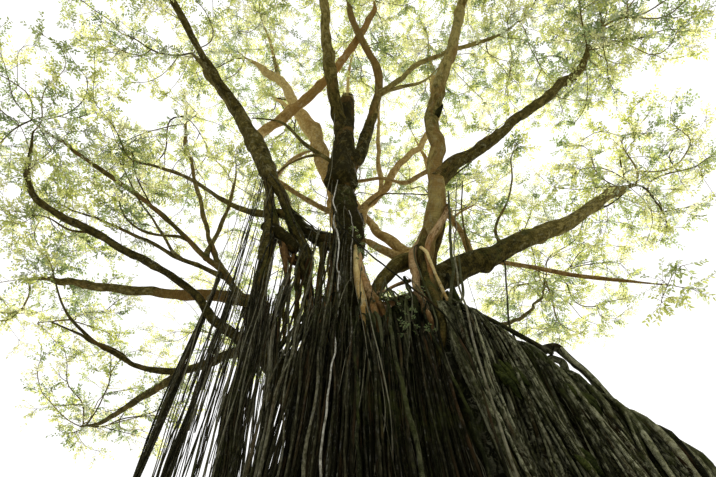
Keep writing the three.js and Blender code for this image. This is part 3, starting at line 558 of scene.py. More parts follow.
# where the big stems come out of the fused trunk, below their solids' ends: limb, the height
# its own axis takes over at, and the points (x, y, z, radius) that lead up to it
STEM_RIGHT_UPPER = [
    (3.69, -1.10, 20.65, 0.34), (3.69, -1.75, 22.73, 0.33), (3.68, -2.20, 23.94, 0.33), (3.71, -2.60, 25.15, 0.32), (3.99, -2.90, 25.95, 0.33), (4.33, -3.45, 27.28, 0.31),
    (5.07, -4.30, 29.56, 0.30), (5.74, -5.25, 32.04, 0.29), (6.34, -5.90, 34.04, 0.27), (7.01, -6.43, 36.92, 0.22)]
ROOTED = {
    'stem_centre': (16.3, [(-0.1, 0.5, 11.6, 0.55), (-0.25, 0.35, 13.6, 0.55)]),
    'stem_left': (22.5, [(-1.88, 0.0, 15.2, 0.09), (-2.05, -0.08, 16.0, 0.19), (-2.13, -0.15, 16.55, 0.32), (-2.22, -0.22, 17.25, 0.25), (-2.47, -0.35, 17.99, 0.23), (-2.70, -0.45, 18.52, 0.21),
                         (-2.95, -0.58, 19.14, 0.20), (-3.20, -0.70, 19.77, 0.22), (-3.53, -0.85, 20.56, 0.27), (-4.13, -1.00, 21.67, 0.38)]),
    'stem_rear_left': (99.0, [(-1.36, 1.90, 9.31, 0.60), (-1.66, 2.00, 10.68, 0.56), (-2.05, 2.20, 11.93, 0.53), (-2.73, 2.50, 13.43, 0.50), (-3.59, 2.90, 15.24, 0.48), (-4.68, 3.33, 17.47, 0.45)]),
    'bough_left_low': (14.05, [(-2.75, 2.35, 13.3, 0.30), (-3.2, 2.3, 13.7, 0.32)]),
    'stem_right': (99.0, [(2.75, 0.15, 12.6, 0.50), (2.62, 0.15, 15.0, 0.46), (2.5, 0.2, 16.6, 0.42), (2.95, -0.25, 18.2, 0.38), (3.44, -0.8, 19.7, 0.36)]
                   + STEM_RIGHT_UPPER),
    'bough_right': (15.3, [(1.5, 0.4, 11.6, 0.45), (2.2, 0.1, 13.7, 0.48)]),
    'stem_tan': (18.8, [(-0.3, 1.3, 13.5, 0.5)]),
    'bough_back_left_low': (30.9, [(-3.70, -0.72, 21.2, 0.14), (-4.23, -0.60, 23.09, 0.20), (-4.82, -0.45, 24.95, 0.22), (-5.38, -0.30, 26.41, 0.23),
                                   (-5.60, -0.10, 27.83, 0.27), (-5.38, 0.02, 28.9, 0.30), (-4.6, -0.36, 29.4, 0.30)]),
    'bough_cross_tan': (21.6, [(2.5, 0.1, 17.0, 0.24), (1.97, 0.45, 17.8, 0.24), (1.49, 0.8, 19.0, 0.23), (0.93, 1.2, 20.3, 0.21)]),
    'bough_back_mid': (23.9, [(-0.2, 0.2, 18.9, 0.24), (0.14, 0.8, 20.42, 0.26), (0.45, 1.2, 22.3, 0.25)]),
    'bough_high_right': (34.8, [(1.20, -1.25, 31.2, 0.20), (1.72, -1.5, 31.3, 0.19), (2.58, -1.6, 32.6, 0.18)]),
    'high_right_b': (99.0, [(1.22, -1.15, 31.0, 0.13), (1.9, -1.2, 31.8, 0.12), (2.88, -1.2, 32.5, 0.11), (3.95, -1.2, 33.2, 0.10), (4.69, -1.2, 34.2, 0.08),
                            (5.4, -1.3, 35.6, 0.06)]),
    'tan_low': (22.0, [(4.80, 0.3, 16.9, 0.17), (4.63, 0.3, 17.4, 0.16), (4.45, 0.3, 18.76, 0.15), (4.17, 0.3, 20.04, 0.14)]),
    'link_low': (99.0, [(-0.9, 1.35, 21.9, 0.15), (-1.6, 1.15, 22.05, 0.14), (-2.36, 0.8, 22.2, 0.13), (-3.3, 0.1, 22.2, 0.12), (-3.85, -0.55, 21.9, 0.13)]),
    'link_right': (99.0, [(3.55, -1.2, 22.0, 0.13), (2.9, -0.4, 22.7, 0.12), (2.34, 0.3, 23.19, 0.11), (1.14, 0.7, 24.4, 0.10), (-0.9, 1.5, 25.2, 0.09)]),
}
BRANCHES['tan_twin'] = ((-2.73, 1.0, 29.46), 170.7, 66.9, 10.9, -4, 0, 3, 6, 0.40, 0.26, 0, 0)
BRANCHES['cross_thin'] = ((-3.86, -0.60, 22.51), 52.0, 70.0, 6.0, 0, 0, 8, 6, 0.21, 0.18, 0, 0)
BRANCHES['tan_parallel'] = ((1.81, 0.5, 17.5), 143.0, 51.0, 3.4, 0, 8, 3, 4, 0.40, 0.34, 0, 0)
BRANCHES['tan_side'] = ((4.24, 0.3, 20.2), 0.0, 36.0, 1.6, 0, 10, 0, 8, 0.14, 0.07, 0, 0)
BRANCHES['link_twig'] = ((1.31, 0.3, 22.3), 0.0, -10.0, 2.3, 0, 4, 4, 6, 0.07, 0.05, 0, 0)


def direction(Q):
    return unit(np.gradient(Q, axis=0))


def attach(P, R, far):
    """carry a limb's start back along the limb that bears it, so that it parts from it at a narrow angle"""
    best, found = None, None
    d0 = unit(P[min(3, len(P) - 1)] - P[0])
    for Q, RR, S in PATHS.values():
        v = P[0] - Q
        d = np.linalg.norm(v, axis=1)
        cost = d * (1.6 - np.clip((v @ d0) / (d + 1e-9), -1, 1)) + np.where(RR > R[0] * 0.7, 0, 99)
        j = int(np.argmin(cost))
        if best is None or cost[j] < best:
            best, found = cost[j], (Q, RR, S, j, d[j])
    if found is None:
        return P, R
    Q, RR, S, j, d = found
    if d > far:
        return P, R
    up = int(np.searchsorted(S, max(0.0, S[j] - (0.9 * RR[j] + 0.35))))
    low = [Q[up]]
    if d > 0.9:
        low.append(lerp(Q[j], P[0], 0.45))
    if d < 0.35:
        P, R = P[2:], R[2:]
    return np.vstack(low + [P]), np.r_[np.full(len(low), R[0] * 1.2), R]


for names in [(n,) for n in SINGLE] + RUNS + [(n,) for n in BRANCHES]:
    P0, R0 = joined(*names)
    nm = names[0]
    if nm in ROOTED:
        height, low = ROOTED[nm]
        low = np.array(low)
        keep = P0[:, 2] > height
        P0 = np.vstack([low[:, :3], P0[keep]])
        R0 = np.r_[low[:, 3], R0[keep]]
    elif P0[0, 2] > 16.0:
        P0, R0 = attach(P0, R0, 4.0 if nm in BRANCHES else 2.6)
    P1, R1, s1 = resample(P0, R0, 0.16 if R0.max() > 0.3 else 0.19)
    wob = np.stack([fbm(np.stack([s1 * 0.55, np.full_like(s1, k * 9.1), np.full_like(s1, len(PATHS) * 3.7)], 1), 60 + k, 2)
                    for k in range(3)], 1)
    P1 = P1 + wob * np.minimum(1, s1 / 2.0)[:, None] * np.minimum(0.26, 0.05 + R1 * 0.7)[:, None]
    # the free end tapers off to the size of the branch that carries it on
    e = np.clip((s1[-1] - s1) / min(3.4, 0.35 * s1[-1]), 0, 1)
    tip = max(0.035, min(0.075, R1[-1] * 0.45)) if nm not in ('stem_centre', 'stem_rear_left', 'link_low', 'link_right') else R1[-1]
    R1 = lerp(tip, R1, e * e * (3 - 2 * e))
    PATHS[nm] = (P1, R1, s1)


def limb_relief(r0, seed, base_ribs=0.0, length=10.0):
    kr_ = np.random.RandomState(seed * 13 + 5)
    nb = int(length / 1.5)
    bumps = np.column_stack([kr_.uniform(0, TAU, nb), kr_.uniform(0, length, nb), kr_.uniform(0.3, 0.8, nb) * r0 + 0.05, kr_.uniform(0.08, 0.26, nb)])

    def f(A, L, P):
        n, k = A.shape
        c = np.stack([np.cos(A) * r0, np.sin(A) * r0, L], -1).reshape(-1, 3) + seed * 7.31
        slow = fbm(c * [0.9, 0.9, 0.75], seed, 2).reshape(n, k)
        lump = fbm(c * [2.4, 2.4, 1.3], seed + 3, 2).reshape(n, k)
        fine = fbm(c * [7.0, 7.0, 2.6], seed + 5, 2).reshape(n, k)
        rib = vnoise(np.stack([np.cos(A) * 2.6, np.sin(A) * 2.6, L * 0.22], -1).reshape(-1, 3) + seed, seed + 9).reshape(n, k)
        near = np.exp(-L / max(0.8, r0 * 7))
        out = 1 + 0.22 * slow + 0.15 * lump + 0.07 * fine + (0.06 + base_ribs * near) * rib
        for a, l, w, h in bumps:
            out = out + h * np.exp(-((L - l) / w) ** 2) * np.clip(np.cos(A - a), 0, 1) ** 3
        return out
    return f


def knots(s, R, r):
    """branch collars and healed knots: short swellings along a limb"""
    g = np.zeros(len(s))
    L = s[-1]
    for _ in range(int(L / 2.4)):
        c = r.uniform(0.05, 0.95) * L
        w = r.uniform(0.4, 0.9) * np.interp(c, s, R) + 0.08
        g = np.maximum(g, r.uniform(0.04, 0.18) * np.exp(-((s - c) / w) ** 2))
    return R * (1 + g)


boughs = Build()
kr = np.random.RandomState(77)
DARK = ('stem_left', 'stem_centre', 'bough_right', 'stem_rear_left', 'bough_left_low', 'bough_front_left', 'link_twig')
PALE = ('stem_right', 'bough_high_right', 'high_right_b')
FORKED = ('stem_centre_left', 'stem_centre_right')      # dark at the fork, paler and warmer above
# these long limbs are slimmer than their solids: length along the limb against share of the solid's radius
SLIM = {'bough_left_low': ((0, 4, 8, 11, 17, 22), (0.68, 0.62, 0.60, 0.72, 0.90, 1.0)),
        'bough_left_up': ((0, 3, 8, 12, 20), (0.70, 0.58, 0.62, 0.74, 0.85)),
        'bough_left_back': ((0, 5, 10), (0.80, 0.86, 1.0)),
        'bough_left_rear': ((0, 4, 8, 12), (1.0, 0.90, 0.68, 0.7))}
for i, (nm, (P, R, s)) in enumerate(PATHS.items()):
    r0 = float(R.max())
    sides = 22 if r0 > 0.42 else 17 if r0 > 0.27 else 12 if r0 > 0.14 else 8
    ribs = 0.22 if nm in ('stem_left', 'stem_centre', 'stem_rear_left', 'stem_right', 'bough_right') else 0.1
    tone = kr.uniform(0.36, 0.55)
    if nm in DARK:
        tone = kr.uniform(0.14, 0.26)
    elif nm in PALE:
        tone = kr.uniform(0.48, 0.58)
    # painted shade and painted light: darker lower down toward the trunk, in the crown's shade, and paler higher up,
    # where the sun reaches
    tones = np.clip(tone + 0.24 * np.clip((P[:, 2] - 23) / 12, -1, 1), 0.05, 0.95)
    warmth = np.full(len(P), -0.7 if nm in DARK else 0.0)
    if nm in FORKED:
        tones = np.interp(P[:, 2], (24, 27.5, 31, 36), (0.18, 0.30, 0.58, 0.68) if nm == 'stem_centre_right' else (0.16, 0.28, 0.54, 0.66))
        warmth = np.interp(P[:, 2], (28, 32, 36), (0.0, 0.55, 0.9)) if nm == 'stem_centre_right' else warmth
    elif nm == 'stem_right':
        warmth = np.interp(P[:, 2], (15, 18, 26, 30), (0.8, 0.7, 0.4, 0.0))
        tones = np.interp(P[:, 2], (15, 20, 25, 32), (0.74, 0.84, 0.58, 0.85))
    elif nm == 'stem_left':
        tones, warmth = tones + 0.13, warmth + 0.2
    elif nm == 'bough_right_up':
        warmth = np.interp(P[:, 2], (21, 26), (0.3, -0.4))
        tones = tones - 0.16
    elif nm == 'bough_right':
        tones = np.interp(P[:, 0], (5, 8, 12), (0.24, 0.52, 0.60))
    elif nm == 'bough_back_left_low':
        tones, warmth = np.interp(s, (6, 14), (0.6, 0.25)), np.interp(s, (6, 14), (0.0, 1.0))
    elif nm == 'bough_rear_right':
        R, tones, warmth = R * np.interp(s, (0, 4, 8), (1.0, 0.8, 0.5)), tones + 0.1, warmth - 0.4
    elif nm in ('bough_left_fork', 'bough_left_up'):
        warmth = warmth + 0.3
    elif nm == 'bough_left_low':
        tones, warmth = tones + 0.15, warmth + 0.4
    elif nm == 'link_twig':
        tones, warmth = np.interp(s, (1.2, 2.6), (0.62, 0.12)), np.interp(s, (1.2, 2.6), (0.8, -0.7))
    elif nm == 'bough_left_back':
        tones, warmth = tones + 0.16, np.interp(s, (3, 7), (0.5, 0.0))
    if nm in SLIM:
        R = R * np.interp(s, *SLIM[nm])
    tube(boughs, P, knots(s, R, kr), sides, tone=tones, mat=1 if nm in TAN else 0, warm=warmth,
         relief=limb_relief(r0, 11 + i * 3, ribs, s[-1]), oval=kr.uniform(0.86, 1.0), spin=kr.uniform(0, TAU))

# the dead stub fused to the foot of the centre stem, broken off square, hollow and pale at the break
sz = np.linspace(0, 1, 60)
sp = np.stack([lerp(-0.84, -0.64, sz) + 0.05 * np.sin(6 * sz), lerp(-0.60, -0.90, sz), lerp(21.5, 31.2, sz)], 1)
tube(boughs, sp, lerp(0.66, 0.41, sz ** 0.8), 24, ref=[0, 1, 0], tone=0.12,
     relief=lambda A, L, P: 1 + 0.22 * fbm(np.stack([np.cos(A) * 2, np.sin(A) * 2, L * 0.7], -1).reshape(-1, 3), 5, 3).reshape(A.shape)
     + 0.24 * vnoise(np.stack([np.cos(A) * 3, np.sin(A) * 3, L * 0.15], -1).reshape(-1, 3), 8).reshape(A.shape))
for k in range(13):      # splinters on its broken end
    a = k / 13 * TAU + kr.uniform(-0.2, 0.2)
    q = sp[-1] + np.array([np.cos(a), np.sin(a), 0]) * 0.34
    z = np.linspace(-0.5, kr.uniform(0.05, 0.42), 6)[:, None]
    tube(boughs, q + np.array([[0.02, 0.01, 1.0]]) * z, np.linspace(0.15, 0.03, 6), 6, ref=[0, 1, 0], tone=kr.uniform(0.5, 0.95))


STUB_AT = ((3.72, -2.55, 24.6, 0.20), (3.95, -2.62, 25.1, 0.19), (4.12, -2.66, 25.5, 0.17), (4.2, -2.66, 25.75, 0.15))


def spline(pts, step):
    """a smooth curve through a few points (x, y, z, radius)"""
    pts = np.asarray(pts, float)
    seg = np.r_[0, np.cumsum(np.linalg.norm(np.diff(pts[:, :3], axis=0), axis=1))]
    tan = np.gradient(pts, seg, axis=0)
    n = max(5, int(seg[-1] / step) + 1)
    u = np.linspace(0, seg[-1], n)
    j = np.clip(np.searchsorted(seg, u, side='right') - 1, 0, len(seg) - 2)
    h = (seg[j + 1] - seg[j])[:, None]
    t = ((u - seg[j]) / (seg[j + 1] - seg[j]))[:, None]
    out = (2 * t ** 3 - 3 * t ** 2 + 1) * pts[j] + (t ** 3 - 2 * t ** 2 + t) * h * tan[j] + (3 * t ** 2 - 2 * t ** 3) * pts[j + 1] + (t ** 3 - t ** 2) * h * tan[j + 1]
    return out[:, :3], np.maximum(out[:, 3], 0.01), u


def bone(build, pts, sides=12, tone=0.4, mat=0, seed=1, rough=1.0, step=0.14, warm=0.0):
    P, R, u = spline(pts, step)
    P = P + 0.05 * rough * np.stack([fbm(np.stack([u * 1.1, np.full(len(u), seed * 2.3 + k), np.zeros(len(u))], 1), 97 + k, 2) for k in range(3)], 1)
    if isinstance(tone, tuple):
        tone = np.interp(u / u[-1], np.linspace(0, 1, len(tone)), tone)
    tube(build, P, R, sides, tone=tone, mat=mat, relief=limb_relief(float(R.mean()), seed, 0.1 * rough, u[-1]), oval=0.92, warm=warm)


bone(boughs, list(STUB_AT), 10, 0.15, 0, 150, 1.2, 0.1)      # a snag at the right stem's kink
# the open fork on the left, where the stem stands on roots grown into struts with light between them
FORK = [
    ([(-4.45, -1.0, 22.4, 0.16), (-4.18, -0.95, 21.34, 0.18), (-3.98, -0.80, 20.64, 0.21), (-3.85, -0.70, 19.81, 0.22), (-3.74, -0.55, 19.19, 0.27), (-3.61, -0.45, 18.52, 0.32),
      (-3.64, -0.35, 17.76, 0.33), (-3.61, -0.25, 16.91, 0.29), (-3.56, -0.20, 16.30, 0.26), (-3.51, -0.15, 15.17, 0.21), (-3.42, -0.15, 14.38, 0.17), (-3.4, -0.1, 12.9, 0.10)], 0.34, 0),
    ([(-3.85, -0.45, 18.55, 0.24), (-3.36, -0.40, 18.10, 0.30), (-2.88, -0.35, 17.66, 0.28), (-2.45, -0.25, 17.05, 0.24)], 0.10, 0),
    ([(-3.37, -0.35, 18.17, 0.20), (-2.96, -0.30, 17.42, 0.16), (-2.72, -0.20, 16.66, 0.14), (-2.36, -0.15, 16.48, 0.15), (-2.0, -0.12, 16.8, 0.15)], (0.5, 0.3, 0.15), 2),
    ([(-3.04, -0.30, 17.82, 0.24), (-2.85, -0.25, 16.79, 0.15), (-2.68, -0.15, 15.85, 0.06), (-2.48, -0.10, 14.44, 0.045), (-2.4, -0.1, 13.3, 0.04)], (0.45, 0.2), 2),
    ([(-2.26, -0.15, 16.72, 0.16), (-2.23, -0.10, 15.95, 0.10), (-2.19, -0.05, 15.11, 0.08), (-2.13, 0.0, 14.04, 0.08), (-2.1, 0.0, 13.0, 0.06)], 0.2, 0),
    ([(-1.91, -0.10, 16.66, 0.15), (-1.85, -0.05, 15.83, 0.11), (-1.70, 0.0, 14.80, 0.09), (-1.59, 0.05, 13.85, 0.09), (-1.5, 0.0, 12.6, 0.09)], (0.5, 0.2), 2),
    # the shelf that joins it to the centre stem
    ([(-3.15, -0.35, 20.1, 0.14), (-2.86, -0.1, 19.8, 0.19), (-2.44, 0.0, 19.2, 0.25), (-1.84, 0.05, 18.5, 0.30), (-1.10, 0.05, 18.0, 0.36), (-0.30, 0.0, 17.8, 0.36)], 0.08, 0),
    ([(-1.35, 0.0, 18.0, 0.18), (-1.42, 0.05, 17.0, 0.12), (-1.45, 0.1, 15.8, 0.10), (-1.40, 0.2, 14.2, 0.10), (-1.3, 0.2, 12.8, 0.1)], 0.2, 2),
    ([(-0.95, 0.0, 17.9, 0.22), (-0.98, 0.05, 16.8, 0.15), (-1.02, 0.1, 15.4, 0.14), (-1.05, 0.1, 13.6, 0.14), (-1.05, 0.1, 12.4, 0.12)], (0.3, 0.5, 0.2), 2),
]
for k, (pts, tone_, m) in enumerate(FORK):
    bone(boughs, pts, 16 if k in (0, 1, 6) else 10, tone_, m, 3 + k, 1.2, 0.13)
fr_ = np.random.RandomState(818)
for k in range(9):      # slighter struts let down beside them
    x = lerp(-3.2, -0.5, (k + fr_.uniform(-0.2, 1.2)) / 9)
    zt = float(np.interp(x, (-3.2, -2.3, -1.2, -0.5), (18.0, 16.8, 17.9, 17.8)))
    lean = fr_.uniform(-0.45, 0.45)
    r_ = fr_.uniform(0.035, 0.085)
    bone(boughs, [(x, -0.05, zt, r_ * 1.6), (x + 0.15 * lean, -0.1 - 0.25 * fr_.rand(), zt - 1.1, r_), (x + 0.6 * lean, -0.1, zt - 2.4, r_ * 0.9), (x + lean, 0.0, zt - fr_.uniform(3.6, 5.2), r_ * 0.6)],
         7, fr_.uniform(0.1, 0.5), 2 if k % 3 == 1 else 0, 300 + k, 2.4, 0.2)
bone(boughs, list(STUB_AT), 10, 0.15, 0, 150, 1.2, 0.1)      # a snag at the right stem's kink
# the orange flank where the centre stem's foot runs down into the crotch; its first, leftmost strand is in the paler
# tan bark as a painted sunlit highlight on the orange bark
FLANK = (([(-0.10, -0.45, 17.3, 0.05), (-0.08, -0.55, 16.60, 0.08), (-0.04, -0.80, 15.58, 0.12), (0.05, -1.15, 14.17, 0.13), (0.19, -1.60, 12.74, 0.13), (0.26, -1.85, 11.7, 0.09), (0.28, -1.8, 10.6, 0.04)], (0.85, 0.8, 0.85, 0.5, 0.2)),
         ([(0.02, -0.45, 16.7, 0.05), (0.11, -0.65, 15.88, 0.08), (0.24, -1.0, 14.54, 0.13), (0.41, -1.45, 13.08, 0.14), (0.53, -1.75, 11.9, 0.10), (0.56, -1.7, 10.8, 0.04)], (0.8, 0.7, 0.6, 0.2)),
         ([(0.10, -0.55, 16.3, 0.04), (0.18, -0.75, 15.30, 0.06), (0.31, -1.0, 14.27, 0.08), (0.52, -1.2, 13.5, 0.10), (0.80, -1.40, 12.6, 0.10), (0.95, -1.6, 11.4, 0.06)], (0.9, 0.7, 0.3)),
         ([(-0.02, -0.35, 16.2, 0.10), (0.12, -0.60, 14.9, 0.2), (0.30, -0.95, 13.6, 0.26), (0.45, -1.2, 12.3, 0.28), (0.5, -1.4, 11.0, 0.2)], (0.45, 0.3)))
for k, (pts, tone_) in enumerate(FLANK):
    bone(boughs, pts, 12, tone_, 1 if k == 0 else 2, 140 + k, 1.8, 0.12, warm=0.6 if k < 3 else 0.35)
# mossy lumps where the back bough parts from the centre stem
bone(boughs, [(-0.05, 0.0, 17.0, 0.24), (0.05, 0.05, 18.2, 0.27), (0.06, 0.20, 19.3, 0.22), (0.12, 0.45, 20.4, 0.12), (0.16, 0.6, 20.9, 0.05)], 14, 0.12, 0, 10)
# the right fork: an arc of old root, and ribs that run down from the right stem
bone(boughs, [(0.25, -0.05, 13.9, 0.24), (0.61, -0.10, 14.85, 0.26), (0.94, 0.0, 15.61, 0.29), (1.32, 0.10, 16.36, 0.32), (1.74, 0.15, 16.84, 0.33),
              (2.12, 0.20, 17.09, 0.30), (2.6, 0.20, 17.3, 0.24)], 16, 0.42, 0, 21)
bone(boughs, [(0.60, -0.75, 14.1, 0.06), (0.90, -0.60, 14.36, 0.06), (1.13, -0.50, 14.63, 0.07), (1.44, -0.35, 15.0, 0.07), (1.9, -0.25, 15.3, 0.07)], 8, 0.6, 2, 22)


# ---------------------------------------------------------------- fused root trunk
def trunk_section(phi, z):
    h = z / TRUNK['height']
    sp_ = np.maximum(0, 1 - h / (1 - TRUNK['flareFrom'] * 0.4)) ** TRUNK['flarePower']
    cx = lerp(TRUNK['topCentre'][0], TRUNK['footCentre'][0], sp_)
    cy = lerp(TRUNK['topCentre'][1], TRUNK['footCentre'][1], sp_)
    rx = lerp(TRUNK['topHalf'][0], TRUNK['footHalf'][0], sp_)
    ry = lerp(TRUNK['topHalf'][1], TRUNK['footHalf'][1], sp_)
    depth = 0.08 * (0.35 + 0.65 * sp_)
    f = 1 + depth * np.sin(7 * phi + 2.0 * h) + 0.5 * depth * np.sin(3 * phi + 1.3 - h * 2)
    return cx, cy, rx * f, ry * f


def trunk_at(phi, z, out=0.0):
    cx, cy, rx, ry = trunk_section(phi, z)
    fold = vnoise(np.stack([np.cos(phi) * 4.6, np.sin(phi) * 4.6, z * 0.10 + 3], -1).reshape(-1, 3), 31).reshape(np.shape(phi))
    d = out + 0.24 * fold - 0.60 * np.maximum(0, -np.cos(phi)) ** 2 * np.clip((z - 3) / 4, 0, 1)
    return np.stack([cx + (rx + d) * np.cos(phi), cy + (ry + d) * np.sin(phi), z * np.ones_like(phi)], -1)


def trunk_top(phi):
    """height of the trunk's rim: high behind and at the sides, low along the front"""
    front = 0.5 + 0.5 * np.tanh((-np.sin(phi) - 0.28) / 0.2)
    gap = np.exp(-(((phi + 2.45 + math.pi) % TAU - math.pi) / 0.42) ** 2)
    dip = np.exp(-(((phi + 1.58 + math.pi) % TAU - math.pi) / 0.26) ** 2)
    return 15.6 - 2.8 * front - 1.3 * gap - 0.65 * dip + 0.3 * np.sin(5 * phi + 1)


trunk = Build()
NA, NZ = 168, 74
phi = np.arange(NA) / NA * TAU
rows = []
for k in range(NZ + 1):
    z = trunk_top(phi) * (k / NZ) ** 1.05
    p = trunk_at(phi, z, -0.30)
    q = p.copy()
    n1 = fbm(q * [1.6, 1.6, 0.16], 3, 3)
    n2 = fbm(q * [4.5, 4.5, 0.5], 4, 3)
    radial = np.stack([np.cos(phi), np.sin(phi), np.zeros(NA)], -1)
    rows.append(p + radial * (0.20 * n1 + 0.09 * n2)[:, None])
top_c = np.array([0.45, 0.9, 15.3])
side_rows = rows[:]
cap_rows = [rows[-1]]
for k in range(1, 15):      # the crotch: from the rim in to the middle
    t = k / 14
    e = rows[-1]
    p = lerp(e, top_c, t * 0.97)
    p[:, 2] = e[:, 2] + (top_c[2] - e[:, 2]) * (t ** 1.5)
    q = fbm(p * 1.1, 9, 3) * math.sin(math.pi * t)
    p[:, 2] += 0.45 * q
    cap_rows.append(p)
i = np.arange(NA)
V = np.concatenate(side_rows + [np.array([[0.9, 0.2, 0.0]])])
cap_b = np.stack([np.full(NA, len(V) - 1), (i + 1) % NA, i], -1)
trunk.add(V, tube_faces(len(side_rows), NA), cap_b, None, 0.12, 0)
V = np.concatenate(cap_rows + [top_c[None]])
nr = len(cap_rows)
cap_t = np.stack([np.full(NA, len(V) - 1), (nr - 1) * NA + i, (nr - 1) * NA + (i + 1) % NA], -1)
trunk.add(V, tube_faces(nr, NA), cap_t, None, 0.4, 2)


def smooth(P, n=2):
    for _ in range(n):
        P[1:-1] = 0.25 * P[:-2] + 0.5 * P[1:-1] + 0.25 * P[2:]
    return P


def root_relief(seed, amt=0.38):
    def f(A, L, P):
        n, k = A.shape
        c = np.stack([np.cos(A) * 0.5, np.sin(A) * 0.5, L * 1.3], -1).reshape(-1, 3) + seed * 3.3
        return 1 + amt * fbm(c, 7 + seed % 50, 2).reshape(n, k) + amt * 0.85 * vnoise(c * [3, 3, 1.9], 12).reshape(n, k)
    return f


def root_tone(r):
    # most roots dark, some grey, a few pale
    u = r.rand()
    return r.uniform(0.05, 0.34) if u < 0.62 else r.uniform(0.4, 0.6) if u < 0.88 else r.uniform(0.66, 0.85)


def trunk_root(build, r, phi0, z0, z1, rad, out, sides, drift=0.05, mat=0, tone=None, amt=0.38):
    n = max(6, int((z0 - z1) / 0.31))
    t = np.linspace(0, 1, n)
    z = lerp(z0, z1, t)
    w = fbm(np.stack([z * 0.22, np.full(n, phi0 * 31), np.full(n, rad * 97)], 1), 41, 3)
    ph = phi0 + drift * w + drift * 0.8 * np.sin(z * 0.5 + phi0 * 9)
    w2 = fbm(np.stack([z * 0.35, np.full(n, phi0 * 17 + 5), np.full(n, 3.0)], 1), 43, 2)
    P = trunk_at(ph, z, 0.0)
    base = trunk_at(ph, z, 0.0)
    cx, cy, _, _ = trunk_section(ph, z)
    radial = unit(np.stack([np.cos(ph), np.sin(ph), 0 * ph], -1))
    # where it leaves or rejoins the trunk it sinks in
    dip = -0.55 * np.exp(-((z0 - z) / 0.6) ** 2) - (0.5 * np.exp(-((z - z1) / 0.7) ** 2) if z1 > 0.1 else 0)
    P = base + radial * (out + 0.10 * w2 + dip)[:, None]
    P = smooth(P, 2)
    kink = vnoise(np.stack([z * 1.1, np.full(n, phi0 * 41), np.full(n, 8.0)], 1), 45)
    P = P + np.stack([-np.sin(ph), np.cos(ph), 0 * ph], -1) * (0.05 * kink)[:, None]
    R = rad * (1 + 0.16 * w) * lerp(0.85, 1.2, t) * np.clip(0.3 + 0.7 * (z0 - z) / 0.9, 0, 1)
    tube(build, P, R, sides, ref=[np.cos(phi0), np.sin(phi0), 0.02], tone=root_tone(r) if tone is None else tone, mat=mat, relief=root_relief(int(phi0 * 1000) % 900, amt))


tr = np.random.RandomState(311)
roots_front, roots_back = Build(), Build()
# many slim roots, grown together in folds, more of them on the side seen
for k in range(420):
    front = k < 290
    phi0 = tr.uniform(-math.pi * 1.08, 0.08 * math.pi) if front else tr.uniform(0.02 * math.pi, 0.98 * math.pi)
    rad = float(np.clip(tr.lognormal(-3.35, 0.5), 0.013, 0.115)) * (1.0 if front else 1.35)
    z0 = float(trunk_top(np.array(phi0))) + tr.uniform(-0.7, 0.05) if tr.rand() < 0.66 else tr.uniform(4, 13)
    z1 = 0.0 if tr.rand() < 0.80 else tr.uniform(1, z0 - 2.5)
    trunk_root(roots_front if front else roots_back, tr, phi0, z0, z1, rad, tr.uniform(-0.14, 0.12) + rad * 0.5, 5 if rad < 0.07 else 7,
               drift=tr.uniform(0.03, 0.11))
# the stout ones that carry the trunk
for k in range(20):
    phi0 = k / 20 * TAU + tr.uniform(-0.12, 0.12)
    front = math.sin(phi0) < 0.1
    trunk_root(roots_front if front else roots_back, tr, phi0, float(trunk_top(np.array(phi0))) - 0.1, 0,
               tr.uniform(0.10, 0.19) if front else tr.uniform(0.16, 0.32), -0.10, 12, 0.12, tone=tr.uniform(0.1, 0.45), amt=0.45)
# a smooth rust-brown root down the left edge
trunk_root(roots_front, tr, -math.pi + 0.16, 14.2, 0.0, 0.17, 0.02, 14, 0.05, mat=2, tone=0.1, amt=0.25)


# roots that run aslant and graft on to their neighbours
for k in range(80):
    phi0 = tr.uniform(-math.pi * 1.0, 0.1)
    z0 = tr.uniform(4, 13.5)
    dz = tr.uniform(1.0, 4.5)
    dphi = tr.uniform(-0.34, 0.34)
    n = 22
    t = np.linspace(0, 1, n)
    z = np.maximum(z0 - dz * t, 0)
    ph = phi0 + dphi * (t * t * (3 - 2 * t)) + 0.03 * np.sin(t * 9 + phi0)
    o = 0.10 - 0.45 * (np.exp(-t / 0.07) + np.exp(-(1 - t) / 0.07))
    radial = np.stack([np.cos(ph), np.sin(ph), 0 * ph], -1)
    rad = tr.uniform(0.012, 0.05)
    tube(roots_front, trunk_at(ph, z, 0.0) + radial * (o + rad)[:, None], np.full(n, rad), 6, tone=root_tone(tr), relief=root_relief(k + 200))


# ---------------------------------------------------------------- root wall to the right
def ridge(x):
    t = np.clip((x - WALL['start']) / WALL['reach'], 0, 1)
    return np.maximum(WALL['lowest'], WALL['height'] * (1 - t ** WALL['bow']) ** WALL['fall']) - 0.42 * np.clip((x - 5.2) / 1.5, 0, 1) * np.clip((12.2 - x) / 1.0, 0, 1) + 0.25 * np.exp(-((x - 8.9) / 1.1) ** 2) + np.interp(x, (3.2, 4.2, 4.9, 5.5, 6.7, 7.2, 7.8, 8.8, 9.5, 11.0), (0, -0.45, -0.42, -0.34, -0.26, -0.18, -0.10, 0.27, 0.30, 0.0))


def wall_foot(x):
    return np.interp(x, WALL['top'], WALL['foot'])


def wall_half(x, h):
    ht = np.interp(x, (2.6, 4.2, 7.4, 10.8, 12.5), (1.9, 1.7, 1.25, 0.85, 0.6))
    hf = np.interp(x, (2.6, 4.2, 7.4, 10.8, 12.5), (3.3, 3.1, 2.5, 1.8, 1.3))
    return lerp(hf, ht, np.maximum(h, 0) ** 0.7)


